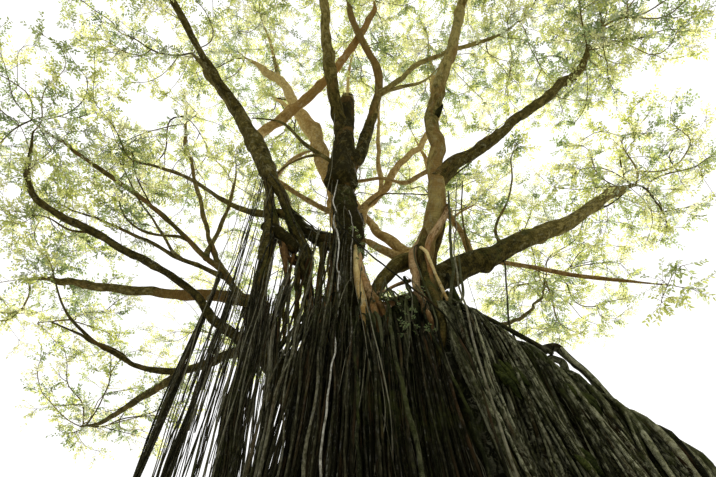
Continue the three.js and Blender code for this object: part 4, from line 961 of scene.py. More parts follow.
def wall_at(x, h, side, out=0.0):
    """a point on the wall's face: x along the ridge, h up it, side -1 front or 1 back"""
    over = np.clip((1 - h) / 0.10, 0, 1) ** 0.5          # rounds over the ridge
    fold = vnoise(np.stack([x * 1.15, h * 2.0, np.full_like(x, side * 5.0)], -1), 51)
    y = 0.1 + side * (wall_half(x, h) * over + out + 0.20 * fold)
    return np.stack([lerp(wall_foot(x), x, h), y, ridge(x) * h], -1)


wall = Build()
NX, NH = 54, 34
xs = np.linspace(1.8, 12.45, NX)
rings = []
for x in xs:
    h = np.linspace(0, 0.985, NH)
    a = wall_at(np.full(NH, x), h, -1, -0.34)
    b = wall_at(np.full(NH, x), h[::-1], 1, -0.34)
    ring = np.vstack([a, b])
    ring[:, 1] += 0.17 * fbm(ring * [1.7, 1.7, 0.25], 61, 3)
    ring[:, 2] = np.where(ring[:, 2] > 0.01, ring[:, 2] - 0.25 + 0.25 * fbm(ring * [1.2, 1.2, 1.2], 62, 3), 0)
    rings.append(ring)
V = np.concatenate(rings)
kk = 2 * NH
ends = []
for e in (0, NX - 1):
    c = rings[e].mean(0)
    V = np.vstack([V, c])
    j = np.arange(kk)
    r0, r1 = e * kk + j, e * kk + (j + 1) % kk
    ends.append(np.stack([np.full(kk, len(V) - 1), r1, r0] if e == 0 else [np.full(kk, len(V) - 1), r0, r1], -1))
wall.add(V, tube_faces(NX, kk), np.concatenate(ends), None, 0.10, 0)

wr = np.random.RandomState(909)


def wall_root(build, r, x, side, rad, h0, h1, out, sides, amt=0.40, tone=None):
    n = max(6, int(float(ridge(np.array(x))) * (h0 - h1) / 0.34))
    t = np.linspace(0, 1, n)
    h = lerp(h0, h1, t)
    w = fbm(np.stack([h * 3.2, np.full(n, x * 11), np.full(n, side * 7.0)], 1), 71, 3)
    xx = x + 0.34 * w + 0.12 * np.sin(h * 9 + x * 4) + 0.07 * vnoise(np.stack([h * 16, np.full(n, x * 13), np.full(n, 4.0)], 1), 75)
    dip = -0.35 * np.exp(-((h0 - h) / 0.05) ** 2) * (h0 < 0.9) - (0.4 * np.exp(-((h - h1) / 0.05) ** 2) if h1 > 0.02 else 0)
    P = wall_at(xx, h, side, 0.0)
    P[:, 1] += side * (out + dip + 0.08 * vnoise(np.stack([h * 6, np.full(n, x * 5), np.full(n, 2.0)], 1), 73))
    if h0 > 0.97:       # begins draped across the ridge
        k = 5
        s = np.linspace(0, 1, k, endpoint=False)[:, None]
        start = P[0] + np.array([0, -side * r.uniform(0.3, 0.9), -r.uniform(0.1, 0.5)])
        mid = P[0] + np.array([0, -side * 0.12, rad * 0.8])
        P = np.vstack([(1 - s) ** 2 * start + 2 * s * (1 - s) * mid + s ** 2 * P[0], P])
        t = np.r_[np.zeros(k), t]
        w = np.r_[np.full(k, w[0]), w]
    P = smooth(P, 3)
    R = rad * (1 + 0.2 * w) * lerp(0.8, 1.25, t)
    tube(build, P, R, sides, ref=[1, 0.05, 0], tone=root_tone(r) if tone is None else tone, relief=root_relief(int(x * 100) % 700, amt))


wall_front, wall_back = Build(), Build()
for k in range(330):
    x = wr.uniform(2.3, 12.3)
    far = np.clip((x - 3.5) / 4, 0, 1)
    rad = float(np.clip(wr.lognormal(-3.12 + 0.42 * far, 0.42), 0.014, 0.095))
    h0 = 0.995 if wr.rand() < 0.7 else wr.uniform(0.35, 0.9)
    h1 = 0.0 if wr.rand() < 0.85 else wr.uniform(0.05, max(0.06, h0 - 0.3))
    # the tone is raised near the trunk, as painted light against the crown's shade there, and lowered toward the wall's
    # far end
    wall_root(wall_front, wr, x, -1, rad, h0, h1, wr.uniform(-0.30, 0.16), 5, tone=float(np.clip(root_tone(wr) + np.interp(x, (3, 6, 9, 12), (0.10, 0.04, -0.22, -0.35)), 0, 0.85)))
for k in range(115):
    x = wr.uniform(2.3, 12.3)
    rad = float(np.clip(wr.lognormal(-2.5, 0.42), 0.03, 0.24))
    h0 = 0.995 if wr.rand() < 0.75 else wr.uniform(0.35, 0.9)
    wall_root(wall_back, wr, x, 1, rad, h0, 0.0, wr.uniform(-0.2, 0.06), 7 if rad < 0.08 else 9)
# the end of the wall, fanning on to the ground
for k in range(26):
    a = lerp(-1.5, 1.5, k / 25) + wr.uniform(-0.06, 0.06)
    zt = wr.uniform(1.2, 4.5)
    t = np.linspace(0, 1, 16)
    xe = 11.9 + (1 - zt / 6.5) * 0.5
    P = np.stack([xe - 0.5 + (0.5 + 0.75 * t) * math.cos(a) * lerp(0.75, 1, t), 0.1 + lerp(0.55, 1.25, t) * math.sin(a), zt * (1 - t)], 1)
    P[:, 0] = np.minimum(P[:, 0], 13.0)
    tube(wall_front, P, wr.uniform(0.06, 0.14) * lerp(0.8, 1.2, t), 8, ref=[math.cos(a), math.sin(a), 0], tone=root_tone(wr), relief=root_relief(k))
# the ridge itself: a lumpy stem that runs down it, with thinner ones wound about it
for k in range(9):
    x = np.linspace(2.2 if k < 5 else wr.uniform(3, 6), 12.3 if k < 4 else wr.uniform(8, 12), 90)
    ph = k * 2.1
    amp = 0.0 if k == 0 else wr.uniform(0.18, 0.42)
    wv = np.sin(x * wr.uniform(0.7, 1.3) + ph)
    z = ridge(x) - (0.30 if k == 0 else 0.12) + amp * 0.55 * np.cos(x * 0.9 + ph) + 0.16 * vnoise(np.stack([x * 1.1, np.full(90, k * 3.0), np.zeros(90)], 1), 81)
    P = smooth(np.stack([x, 0.05 + amp * wv, z], 1), 2)
    rr = (lerp(0.50, 0.30, np.linspace(0, 1, 90)) if k == 0 else np.full(90, wr.uniform(0.09, 0.2)))
    tube(wall_front if k else wall_back, P, rr * (1 + 0.2 * vnoise(np.stack([x * 1.7, np.full(90, k), np.zeros(90)], 1), 82)), 18 if k == 0 else 9,
         ref=[0, 1, 0], tone=0.15 if k == 0 else wr.uniform(0.1, 0.5), relief=root_relief(k + 40, 0.22))


def strand(build, pts, r0, r1, sides=8, step=0.2, tone=0.5, mat=0, amt=0.12, seed=1, ref=None, wob=0.0):
    """one root or stem through a few points, rounded into a curve"""
    pts = np.asarray(pts, float)
    t = np.linspace(0, 1, len(pts))
    n = max(8, int(np.linalg.norm(np.diff(pts, axis=0), axis=1).sum() / step))
    u = np.linspace(0, 1, n)
    P = np.stack([np.interp(u, t, pts[:, i]) for i in range(3)], 1)
    P = smooth(P, max(2, n // 12))
    if wob:
        P = P + wob * np.stack([fbm(np.stack([u * n * step * 0.8, np.full(n, seed * 3.1 + i), np.zeros(n)], 1), 91 + i, 2) for i in range(3)], 1)
    tube(build, P, lerp(r0, r1, u), sides, ref=ref, tone=tone, mat=mat, relief=root_relief(seed, amt))


# an arched root on the ridge with light under it, a straight pole that leans on the ridge,
# and the pale roots that come down to it from the right bough
bone(wall_front, [(5.0, -0.15, 11.3, 0.20), (5.37, -0.2, 11.72, 0.20), (5.75, -0.2, 12.06, 0.16), (6.04, -0.2, 12.2, 0.15), (6.31, -0.2, 12.2, 0.15), (6.46, -0.2, 11.95, 0.13),
                  (6.62, -0.2, 11.6, 0.12), (6.85, -0.2, 11.15, 0.13), (7.05, -0.2, 10.6, 0.15), (7.3, -0.2, 9.9, 0.16)], 14, 0.16, 0, 5, 1.6, 0.07)
strand(wall_front, [(6.35, -0.25, 12.1), (6.55, -0.32, 11.6), (6.8, -0.36, 11.1), (7.1, -0.4, 10.4), (7.4, -0.5, 9.4)], 0.06, 0.07, 8, 0.08, 0.65, amt=0.3, seed=6, wob=0.1)
strand(wall_front, [(5.5, -0.1, 11.2), (5.9, -0.35, 11.7), (6.2, -0.4, 11.45), (6.1, -0.5, 10.6)], 0.09, 0.12, 9, 0.08, 0.3, amt=0.3, seed=26, wob=0.08)
strand(wall_front, [(2.9, -0.7, 13.9), (4.4, -0.75, 12.75), (5.9, -0.6, 11.6)], 0.085, 0.07, 8, 0.2, 0.3, seed=7)
strand(wall_front, [(5.85, 0.2, 17.6), (5.75, 0.2, 16.6), (5.4, 0.2, 14.8), (5.15, 0.1, 13.4), (5.15, 0.0, 12.4)], 0.03, 0.04, 6, 0.2, 0.3, seed=9, wob=0.06)

# small lumpy cushions of moss on the wall's face
for x, h, n_, spread in ((3.45, 0.745, 9, 0.13), (3.30, 0.70, 5, 0.10), (5.05, 0.80, 6, 0.13), (5.45, 0.80, 7, 0.14), (4.3, 0.60, 4, 0.10)):
    for k in range(n_):
        xx, hh = x + wr.normal(0, spread), h + wr.normal(0, 0.012)
        q = wall_at(np.array([xx, xx + 0.2]), np.array([hh, hh - 0.02]), -1, wr.uniform(0.02, 0.08))
        t = np.linspace(0, 1, 7)
        P = lerp(q[0], q[1], lerp(-0.3, 1.1, t)[:, None])
        tube(wall_front, P, wr.uniform(0.05, 0.095) * np.sqrt(np.clip(1 - (2 * t - 1) ** 2, 0.03, 1)), 8, ref=[0, 1, 0], tone=wr.uniform(0.3, 0.6), mat=2, relief=root_relief(int(xx * 100) + k, 0.5))


# ---------------------------------------------------------------- roots that run down the stems into the trunk
wraps = Build()
sr = np.random.RandomState(1213)


def stem_wraps(name, count, top, rmin, rmax, tone=(0.2, 0.9), phis=None):
    P, R, s = PATHS[name]
    T, S, U = frames(P)
    for k in range(count):
        s0 = sr.uniform(0.25, 1.0) * top
        i0 = int(np.searchsorted(s, s0))
        a0 = sr.uniform(0, TAU)
        idx = np.arange(i0, -1, -3)
        a = a0 + 0.5 * (s[idx] / max(top, 0.1)) * sr.uniform(-1, 1) + 0.15 * np.sin(s[idx] * 1.3 + a0)
        rad = sr.uniform(rmin, rmax)
        off = (R[idx] * 1.02 + rad * 0.25)
        off[:2] = R[idx[:2]] * 0.8
        Q = P[idx] + S[idx] * (np.cos(a) * off)[:, None] + U[idx] * (np.sin(a) * off)[:, None]
        low = Q[-1]
        phi_t = math.atan2((low[1] - 0.45) / 2.35, (low[0] - 0.55) / 2.75)
        if math.hypot(low[0] - 0.55, low[1] - 0.45) < 0.6:
            phi_t = sr.uniform(-math.pi, 0)
        zt = float(trunk_top(np.array(phi_t)))
        keep = Q[:, 2] > zt + 0.15
        Q = Q[keep] if keep.sum() > 2 else Q[:3]
        z = np.arange(zt - 0.25, 0.0, -0.42)
        z = np.r_[z, 0.0]
        ph = phi_t + 0.05 * np.sin(z * 0.45 + a0) + 0.10 * fbm(np.stack([z * 0.2, np.full(len(z), a0), np.full(len(z), k)], 1), 55, 2)
        D = trunk_at(ph, z, 0.0)
        radial = np.stack([np.cos(ph), np.sin(ph), 0 * ph], -1)
        D = D + radial * (0.04 + rad * 0.4)
        rim = lerp(Q[-1], D[0], 0.6) + np.array([0, 0, 0.12])
        W = np.vstack([Q, rim, D])
        seg = np.r_[0, np.cumsum(np.linalg.norm(np.diff(W, axis=0), axis=1))]
        n = int(seg[-1] / 0.32)
        u = np.linspace(0, seg[-1], n)
        W = smooth(np.stack([np.interp(u, seg, W[:, j]) for j in range(3)], 1), 4)
        rr = rad * lerp(0.7, 1.25, u / seg[-1]) * np.clip(0.25 + 0.75 * u / 1.3, 0, 1)
        tube(wraps, W, rr, 7 if rad < 0.09 else 9, tone=sr.uniform(*tone), relief=root_relief(k * 7 + 3))


stem_wraps('stem_left', 5, 4.0, 0.02, 0.06, (0.1, 0.6))
stem_wraps('stem_centre', 20, 6.0, 0.02, 0.075, (0.1, 0.7))
stem_wraps('stem_right', 12, 5.0, 0.02, 0.07, (0.2, 1.0))
stem_wraps('bough_right', 16, 4.5, 0.02, 0.09, (0.1, 0.7))
stem_wraps('stem_rear_left', 10, 7.0, 0.04, 0.12)
stem_wraps('stem_tan', 6, 4.0, 0.02, 0.07, (0.5, 1.0))
stem_wraps('bough_rear', 9, 4.0, 0.04, 0.12)
stem_wraps('bough_rear_right', 8, 3.5, 0.03, 0.12)
stem_wraps('bough_rear_high', 7, 3.5, 0.03, 0.12)
stem_wraps('bough_rear_left', 7, 3.5, 0.03, 0.12)


def down_trunk(pt, seed, out=0.06, drift=0.04):
    """points from pt down the trunk's face to the ground"""
    x, y, z, r = pt
    phi0 = math.atan2((y - 0.45) / 2.6, (x - 0.6) / 3.0)
    zz = np.append(np.arange(z - 1.2, 0.3, -1.5), 0.0)
    ph = phi0 + drift * np.sin(zz * 0.5 + seed)
    radial = np.stack([np.cos(ph), np.sin(ph), 0 * ph], -1)
    D = trunk_at(ph, zz, 0.0) + radial * (out + r * 0.5)
    return [tuple(d) + (r * (1 + 0.02 * k),) for k, d in enumerate(D)]


# ribs of root down the foot of the right stem: top to bottom (x, y, z, radius), then material and tone
RIBS = [
    ([(2.85, 0.05, 18.4, 0.08), (2.42, -0.20, 17.6, 0.13), (2.13, -0.42, 16.48, 0.16), (2.05, -0.60, 15.59, 0.17), (2.06, -0.85, 14.30, 0.15), (2.10, -1.30, 13.06, 0.14), (2.08, -1.80, 11.64, 0.10)], 2, (0.65, 0.8, 0.6, 0.25)),
    ([(2.80, -0.40, 18.3, 0.10), (2.68, -0.45, 17.7, 0.16), (2.49, -0.55, 16.60, 0.22), (2.42, -0.70, 15.36, 0.21), (2.45, -1.00, 13.98, 0.19), (2.43, -1.50, 12.55, 0.16), (2.37, -1.85, 11.48, 0.11)], 0, (0.42, 0.28, 0.2)),
    ([(2.75, -0.15, 17.3, 0.03), (2.50, -0.68, 16.75, 0.045), (2.40, -0.98, 16.25, 0.06), (2.48, -1.10, 15.80, 0.065), (2.61, -1.16, 15.31, 0.06), (2.72, -1.18, 14.66, 0.055), (2.81, -1.20, 14.07, 0.06), (2.88, -1.28, 13.30, 0.055), (2.87, -1.42, 12.66, 0.05), (2.76, -1.70, 11.86, 0.04)], 1, (0.8, 0.85, 0.55, 0.3, 0.25)),
    ([(2.45, -0.25, 17.6, 0.02), (2.18, -0.70, 16.6, 0.025), (2.16, -1.0, 14.91, 0.028), (2.27, -1.35, 13.51, 0.03), (2.30, -1.70, 12.43, 0.03), (2.29, -1.95, 11.58, 0.03)], 0, 0.9),
    ([(3.94, -1.10, 20.23, 0.04), (3.47, -1.10, 16.45, 0.055), (3.31, -1.15, 14.89, 0.06), (3.00, -1.40, 13.46, 0.06), (2.67, -1.80, 12.04, 0.06)], 0, 0.8),
    ([(3.75, -0.75, 16.2, 0.03), (3.61, -0.90, 14.81, 0.04), (3.55, -1.0, 14.08, 0.05), (3.08, -1.40, 12.73, 0.04), (2.67, -1.80, 11.72, 0.04)], 0, 1.0),
    ([(1.45, -0.3, 13.9, 0.05), (1.42, -1.2, 13.1, 0.06), (1.40, -1.75, 11.9, 0.06)], 0, 0.6),
    ([(1.72, -0.2, 15.6, 0.06), (1.74, -0.9, 14.0, 0.08), (1.78, -1.5, 12.4, 0.08)], 0, 0.4),
    ([(3.25, -0.35, 15.6, 0.08), (3.3, -0.7, 14.2, 0.10), (3.35, -1.0, 12.6, 0.10)], 0, 0.4),
]
for k, (pts, m, tone_) in enumerate(RIBS):
    low = down_trunk(pts[-1], k, 0.02)
    if k < 3:
        bone(boughs, pts + low[:1], 14, tone_, m, 30 + k, 2.2, 0.11, warm=(0.0, 0.15, 0.0)[k])
        bone(wraps, [tuple(np.array(pts[-1]) * [1, 1, 1, 0.6])] + low, 8, 0.3, 0, 30 + k, 1.0, 0.3)
    else:
        bone(wraps, pts + low, 9, tone_ if isinstance(tone_, tuple) else (tone_, tone_, 0.6 * tone_, 0.5 * tone_), m, 30 + k, 1.2, 0.2)
bone(boughs, [(3.75, -0.4, 19.6, 0.07), (3.60, -0.20, 18.80, 0.09), (3.35, -0.10, 17.95, 0.11), (3.08, 0.0, 17.29, 0.13), (2.91, 0.0, 16.18, 0.14), (2.9, 0.0, 14.0, 0.14)], 10, 0.22, 0, 40)
# a brown strand that leaves the stem's right side and joins its foot
bone(boughs, [(3.75, -0.85, 19.4, 0.10), (3.61, -0.90, 18.64, 0.12), (3.20, -0.92, 17.89, 0.13), (2.77, -0.90, 16.96, 0.13), (2.63, -0.85, 16.34, 0.12), (2.59, -0.85, 15.64, 0.11), (2.45, -1.2, 13.2, 0.10)], 12, (0.5, 0.75, 0.6, 0.4, 0.3), 2, 41, 2.0, 0.12, warm=0.2)
# pale roots down the trunk's face
for k, (pts, tone_) in enumerate([
        ([(0.85, -1.55, 13.0, 0.04), (0.97, -1.95, 12.15, 0.055), (0.92, -2.34, 11.36, 0.062), (0.91, -2.64, 10.42, 0.062), (0.97, -2.95, 9.20, 0.062),
          (1.04, -3.25, 8.16, 0.062), (1.08, -3.75, 6.76, 0.065), (1.1, -4.3, 3.0, 0.075), (1.1, -4.45, 0.0, 0.08)], 0.75),
        ([(1.95, -1.75, 12.4, 0.05), (2.05, -2.1, 11.0, 0.05), (2.25, -2.45, 9.6, 0.05), (2.45, -2.85, 8.0, 0.055), (2.6, -3.3, 5.0, 0.06), (2.7, -3.6, 0.0, 0.07)], 0.55),
        ([(0.10, -2.28, 12.5, 0.03), (-0.08, -2.52, 10.49, 0.035), (0.0, -2.9, 8.47, 0.04), (0.0, -3.7, 5.5, 0.045), (0.0, -4.4, 0.0, 0.05)], 0.6)]):
    bone(wraps, [(x_, y_, z_, r_ * 0.8) for x_, y_, z_, r_ in pts], 9, tone_ - 0.12, 0, 50 + k, 1.3, 0.2)
# small roots that loop over the rim of the crotch
for k in range(26):
    x = sr.uniform(0.15, 3.4)
    phi_ = -math.acos(np.clip((x - 0.55) / 2.75, -0.99, 0.99))
    zt = float(trunk_top(np.array(phi_)))
    rim = trunk_at(np.array([phi_]), np.array([zt]), 0.0)[0]
    r_ = sr.uniform(0.02, 0.06)
    pts = [(rim[0] + sr.uniform(-0.3, 0.3), rim[1] + sr.uniform(0.5, 1.3), zt + sr.uniform(0.2, 0.9), r_ * 0.7), (rim[0] + sr.uniform(-0.1, 0.1), rim[1] + 0.25, zt + 0.22, r_),
           (rim[0], rim[1] - 0.10, zt - 0.25, r_), (rim[0] + sr.uniform(-0.15, 0.15), rim[1] - 0.16, zt - 1.6, r_)]
    bone(wraps, pts + down_trunk(pts[-1], k, 0.05, 0.06), 6, sr.choice([0.2, 0.35, 0.9]), 0, 60 + k, 1.2, 0.34)
# wandering rootlets over the orange bark of the crotch
for k in range(10):
    x = sr.uniform(0.1, 1.6)
    pts = [(x, -0.2 - 0.3 * k % 0.8, 14.6 + sr.uniform(-0.4, 0.6), 0.03), (x + sr.uniform(-0.2, 0.2), -1.0, 13.7, 0.035), (x + sr.uniform(-0.3, 0.3), -1.75, 12.7, 0.035)]
    bone(wraps, pts, 6, 0.8, 0, 90 + k, 1.5, 0.2)


def clothe(build, line, count, rmin, rmax, seed, tones, mat=0, drop=0.0, span=(0.35, 1.0)):
    """thin roots that run down along a limb's bark, winding a little; some leave its end and hang"""
    C, R, u = spline(line, 0.22)
    T, S, U = frames(C)
    r = np.random.RandomState(seed)
    n = len(C)
    for k in range(count):
        i0 = int(r.uniform(0, 0.55) * n)
        i1 = min(n, i0 + max(6, int(r.uniform(*span) * n)))
        idx = np.arange(i0, i1)
        if len(idx) < 5:
            continue
        t = u[idx] - u[i0]
        a = r.uniform(0, TAU) + r.uniform(-0.4, 0.4) * t + 0.3 * np.sin(t * 1.6 + k)
        rad = math.exp(r.uniform(math.log(rmin), math.log(rmax)))
        off = R[idx] * (1.0 + 0.10 * fbm(np.stack([t, np.full(len(t), k * 3.7), np.zeros(len(t))], 1), 66, 2)) + 0.25 * rad
        off[0] *= 0.6
        W = C[idx] + S[idx] * (np.cos(a) * off)[:, None] + U[idx] * (np.sin(a) * off)[:, None]
        if drop and i1 == n and r.rand() < 0.75:
            m = int(r.uniform(0.3, 1.0) * drop / 0.35)
            z = 0.35 * np.arange(1, m + 1)
            w = np.stack([fbm(np.stack([z * 0.6, np.full(m, k * 5.0 + 30 * i), np.zeros(m)], 1), 68 + i, 2) for i in range(2)], 1) * 0.16
            W = np.vstack([W, W[-1] + np.column_stack([w[:, 0] - 0.02 * z, w[:, 1] - 0.03 * z, -z])])
        else:
            W[-1] = lerp(W[-1], C[idx[-1]], 0.4)
        tube(build, smooth(W, 2), rad * np.linspace(1.0, 0.75, len(W)), 5 if rad < 0.04 else 7, tone=float(r.choice(tones)), mat=mat, relief=root_relief(seed + k * 9, 0.35))


# ---------------------------------------------------------------- curtains of roots that hang clear
def hang(build, r, top, foot, z0, rad, sides=6, wander=0.12, tone=None, mat=0, plumb=1.5, step=0.4, z1=0.0):
    """a root from top (x, y at z0) to foot (x, y at z1), nearly plumb, with small kinks"""
    n = max(6, int((z0 - z1) / step))
    z = np.linspace(z0, z1, n)
    h = (z0 - z) / max(z0, 1e-6)
    sd = r.uniform(0, 90)
    w = np.stack([fbm(np.stack([z * 0.28, np.full(n, sd + 7 * i), np.full(n, 1.0)], 1), 101 + i, 3) for i in range(2)], 1)
    xy = np.array(top)[None, :] + (np.array(foot) - np.array(top))[None, :] * (h ** plumb)[:, None] + w * wander * np.minimum(1, h * 6)[:, None]
    P = np.column_stack([xy, z])
    R = rad * (1 + 0.14 * vnoise(np.stack([z * 0.9, np.full(n, sd), np.zeros(n)], 1), 107)) * lerp(0.85, 1.15, h)
    tube(build, P, R, sides, ref=[0.1, 1, 0.02], tone=root_tone(r) if tone is None else tone, mat=mat, relief=root_relief(int(sd * 10), 0.3))


hr = np.random.RandomState(505)
column, front = Build(), Build()


def rope(build, r, axis_, count, spread, rmin, rmax, flare=1.3, tone=None, mat=0, top=0.12):
    """thin roots that run down together about an axis of points (x, y, z), with light between some of them"""
    C, _, u = spline([p + (0.1,) for p in axis_], 0.36)
    n = len(C)
    t = u / u[-1]
    for k in range(count):
        i0 = int(r.uniform(0, top) * n)
        rho = spread * math.sqrt(r.uniform(0.03, 1.0)) * lerp(1.0, flare, t)
        a = r.uniform(0, TAU) + r.uniform(-0.9, 0.9) * t * 2 + 0.9 * fbm(np.stack([u * 0.25, np.full(n, k * 3.3), np.full(n, spread * 50)], 1), 121, 2)
        w = np.stack([fbm(np.stack([u * 0.7, np.full(n, k * 5.1 + 40 * i), np.full(n, axis_[0][0])], 1), 123 + i, 2) for i in range(2)], 1) * 0.09
        P = C + np.stack([rho * np.cos(a) + w[:, 0], 0.85 * rho * np.sin(a) + w[:, 1], 0 * t], 1)
        rad = math.exp(r.uniform(math.log(rmin), math.log(rmax)))
        P = P[i0:]
        tube(build, P, rad * lerp(0.85, 1.25, t[i0:]) * (1 + 0.15 * w[i0:, 0] / 0.09), 5 if rad < 0.04 else 7, ref=[0.1, 1, 0.02],
             tone=root_tone(r) if tone is None else tone, mat=mat, relief=root_relief(k * 11 + 5, 0.35))


# the left column: ropes of slim roots let down from the fork's struts, with sky between them
rope(column, hr, [(-3.69, -0.20, 16.42), (-3.67, -0.20, 14.85), (-3.60, -0.22, 13.82), (-3.52, -0.25, 12.57), (-3.48, -0.25, 11.34), (-3.53, -0.28, 10.22), (-3.49, -0.30, 9.21), (-3.38, -0.32, 8.33), (-3.55, -0.40, 4.0), (-3.9, -0.5, 0.0)],
     30, 0.19, 0.012, 0.045, 1.6)
rope(column, hr, [(-3.39, -0.20, 16.42), (-3.34, -0.20, 14.85), (-3.29, -0.22, 13.82), (-3.16, -0.25, 12.57), (-3.15, -0.27, 11.32), (-3.30, -0.30, 10.21), (-3.30, -0.32, 9.19), (-3.19, -0.35, 8.31), (-3.3, -0.45, 4.0), (-3.6, -0.6, 0.0)],
     16, 0.14, 0.012, 0.040, 1.4)
rope(column, hr, [(-2.54, -0.15, 16.01), (-2.70, -0.20, 14.85), (-2.78, -0.20, 13.84), (-2.72, -0.22, 12.60), (-2.61, -0.25, 11.34), (-2.56, -0.28, 10.22), (-2.50, -0.30, 9.21), (-2.52, -0.32, 8.33), (-2.55, -0.40, 4.0), (-2.75, -0.5, 0.0)],
     26, 0.18, 0.012, 0.045, 0.9)
rope(column, hr, [(-3.95, -0.3, 14.0), (-4.05, -0.25, 11.5), (-4.1, -0.25, 9.3), (-4.2, -0.3, 7.6), (-4.6, -0.4, 4.0), (-5.0, -0.5, 0.0)], 3, 0.12, 0.010, 0.02)
# a smooth straight root from the fork down over the wall's shoulder
bone(wraps, [(3.08, -0.60, 14.31, 0.07), (3.44, -0.62, 13.38, 0.07), (4.01, -0.66, 12.63, 0.07), (4.54, -0.72, 11.79, 0.07), (4.85, -0.74, 11.02, 0.04)], 9, (0.5, 0.6, 0.45), 0, 61, 1.0, 0.25)
# and thin roots that clothe the fork's struts and the shelf
for k, (cnt_, drop_) in enumerate(((18, 5.0), (7, 3.0), (6, 0.0), (5, 3.0), (4, 3.0), (4, 3.0), (16, 4.5), (4, 2.0), (5, 3.0))):
    clothe(column, FORK[k][0], cnt_, 0.016, 0.05, 900 + 17 * k, (0.12, 0.25, 0.45, 0.7), 0, drop_)
clothe(column, ROOTED['stem_left'][1][::-1], 9, 0.016, 0.045, 1100, (0.1, 0.2, 0.35), 0, 2.5, (0.3, 0.8))
clothe(column, [(-0.6, -0.35, 20.5, 0.62), (-0.45, -0.30, 18.5, 0.62), (-0.35, -0.25, 16.5, 0.62), (-0.3, -0.3, 14.5, 0.66)], 16, 0.014, 0.04, 1200, (0.1, 0.25, 0.5), 0, 4.0, (0.4, 1.0))
clothe(column, [(2.75, 0.15, 15.2, 0.50), (2.60, 0.15, 15.0, 0.52), (2.5, 0.0, 13.8, 0.56), (2.45, -0.3, 12.4, 0.62)][::1], 8, 0.014, 0.035, 1250, (0.2, 0.45, 0.7), 0, 4.0, (0.5, 1.0))
for k in range(22):      # slim strands in the gap between the first two ropes
    v = (k + hr.rand()) / 22
    top, low = lerp(np.array((-3.53, -0.25, 14.28)), np.array((-2.94, -0.25, 14.28)), v), lerp(np.array((-3.34, -0.32, 8.65)), np.array((-2.59, -0.32, 8.65)), v)
    d = low - top
    z1 = 0.0 if hr.rand() < 0.7 else hr.uniform(2, 9)
    end = top + d * (top[2] - z1) / (top[2] - low[2])
    hang(column, hr, (top[0], top[1] + hr.normal(0, 0.1)), (end[0], end[1] + hr.normal(0, 0.15)), float(top[2]), float(np.clip(hr.lognormal(-3.85, 0.4), 0.010, 0.045)), 5, 0.12, step=0.45,
         z1=z1, tone=hr.choice([0.2, 0.35, 0.5, 0.75]))
for k in range(26):      # thin strands that hang by themselves beside and between the ropes
    z0 = hr.uniform(14.5, 20.5)
    x0 = -3.2 - 0.25 * max(0, z0 - 17) - hr.uniform(-0.55, 0.75)
    v = hr.uniform(-1, 1)
    hang(column, hr, (x0, -0.15 + 0.5 * v), (x0 * 1.06 - 0.35, -0.35 + 0.8 * v), z0, float(np.clip(hr.lognormal(-4.1, 0.35), 0.009, 0.03)), 5, 0.22, step=0.5,
         z1=0.0 if hr.rand() < 0.6 else hr.uniform(2, 11), tone=hr.choice([0.3, 0.45, 0.6, 0.8]))
for k in range(6):      # from the limb above the column
    P, R, s = PATHS['stem_left']
    i0 = int(np.searchsorted(s, hr.uniform(6.0, 9.5)))
    q = P[i0]
    hang(column, hr, (q[0], q[1]), (q[0] + hr.normal(0.1, 0.25), q[1] + hr.normal(0, 0.2)), float(q[2]), hr.uniform(0.010, 0.024), 5, 0.2, step=0.55,
         z1=hr.uniform(5, 15), tone=hr.choice([0.3, 0.5, 0.75]))
FRONT_TOP = ((-2.0, 14.0), (-1.2, 13.2), (-0.6, 12.8), (-0.1, 12.7), (0.15, 12.6), (0.7, 12.2), (0.9, 12.5), (2.4, 12.6))
for k in range(175):     # the front curtain, let down from the fork's shelf, the stem's foot and the rim
    u = hr.uniform(-1, 1) if k % 5 else hr.uniform(-1, -0.15)
    xt = 0.25 + 2.0 * u
    zt = float(np.interp(xt, [a for a, _ in FRONT_TOP], [b for _, b in FRONT_TOP])) - hr.uniform(0, 1.0) ** 2 * 2.2
    high = zt > 13.4
    rad = float(np.clip(hr.lognormal(-3.85, 0.45), 0.011, 0.06))
    v = hr.uniform(-1, 1)
    y0 = lerp(-0.1, -0.5, hr.rand()) if high else -2.15 + 0.2 * v
    n = max(8, int(zt / 0.36))
    z = np.linspace(zt, 0, n)
    h = (zt - z) / zt
    sd = hr.uniform(0, 90)
    w = np.stack([fbm(np.stack([z * 0.45, np.full(n, sd + 7 * i), np.full(n, 1.0)], 1), 101 + i, 3) for i in range(2)], 1)
    yf = -4.75 + 0.35 * v + 0.8 * u * u
    y = lerp(-2.05 + 0.2 * v + 0.3 * abs(u), yf, h ** 1.7)
    y = lerp(y0 if high else y[0] + 0.5, y, np.clip((zt - z) / (4.2 if high else 1.6), 0, 1) ** 0.8)
    P = np.column_stack([lerp(xt, 0.2 + 2.9 * u, h ** 1.6) + 0.11 * w[:, 0], y + 0.10 * w[:, 1], z])
    # the roots' tone falls toward the ground: painted shade, for the dark foot of the trunk under the crown
    tube(front, P, rad * (1 + 0.15 * w[:, 1]) * lerp(0.85, 1.15, h), 5, ref=[0.1, 1, 0.02], tone=root_tone(hr) * np.interp(z, (5, 11, 14), (0.35, 0.6, 1.0)), relief=root_relief(int(sd * 10), 0.35))
for k in range(17):      # slim strands straight down from the shelf, clear of the trunk
    xt = lerp(-2.1, -0.15, (k + hr.uniform(-0.6, 1.6)) / 17)
    zt = float(np.interp(xt, (-2.1, -0.45), (18.3, 17.8))) - (hr.uniform(0.8, 4.0) if k % 3 == 0 else 0)
    hang(front, hr, (xt, -0.45 - 0.3 * hr.rand()), (xt * 1.25, -3.4 - 0.9 * hr.rand()), zt, hr.uniform(0.013, 0.04), 6, 0.3, tone=hr.choice([0.25, 0.4, 0.6]), plumb=0.9, step=0.36)
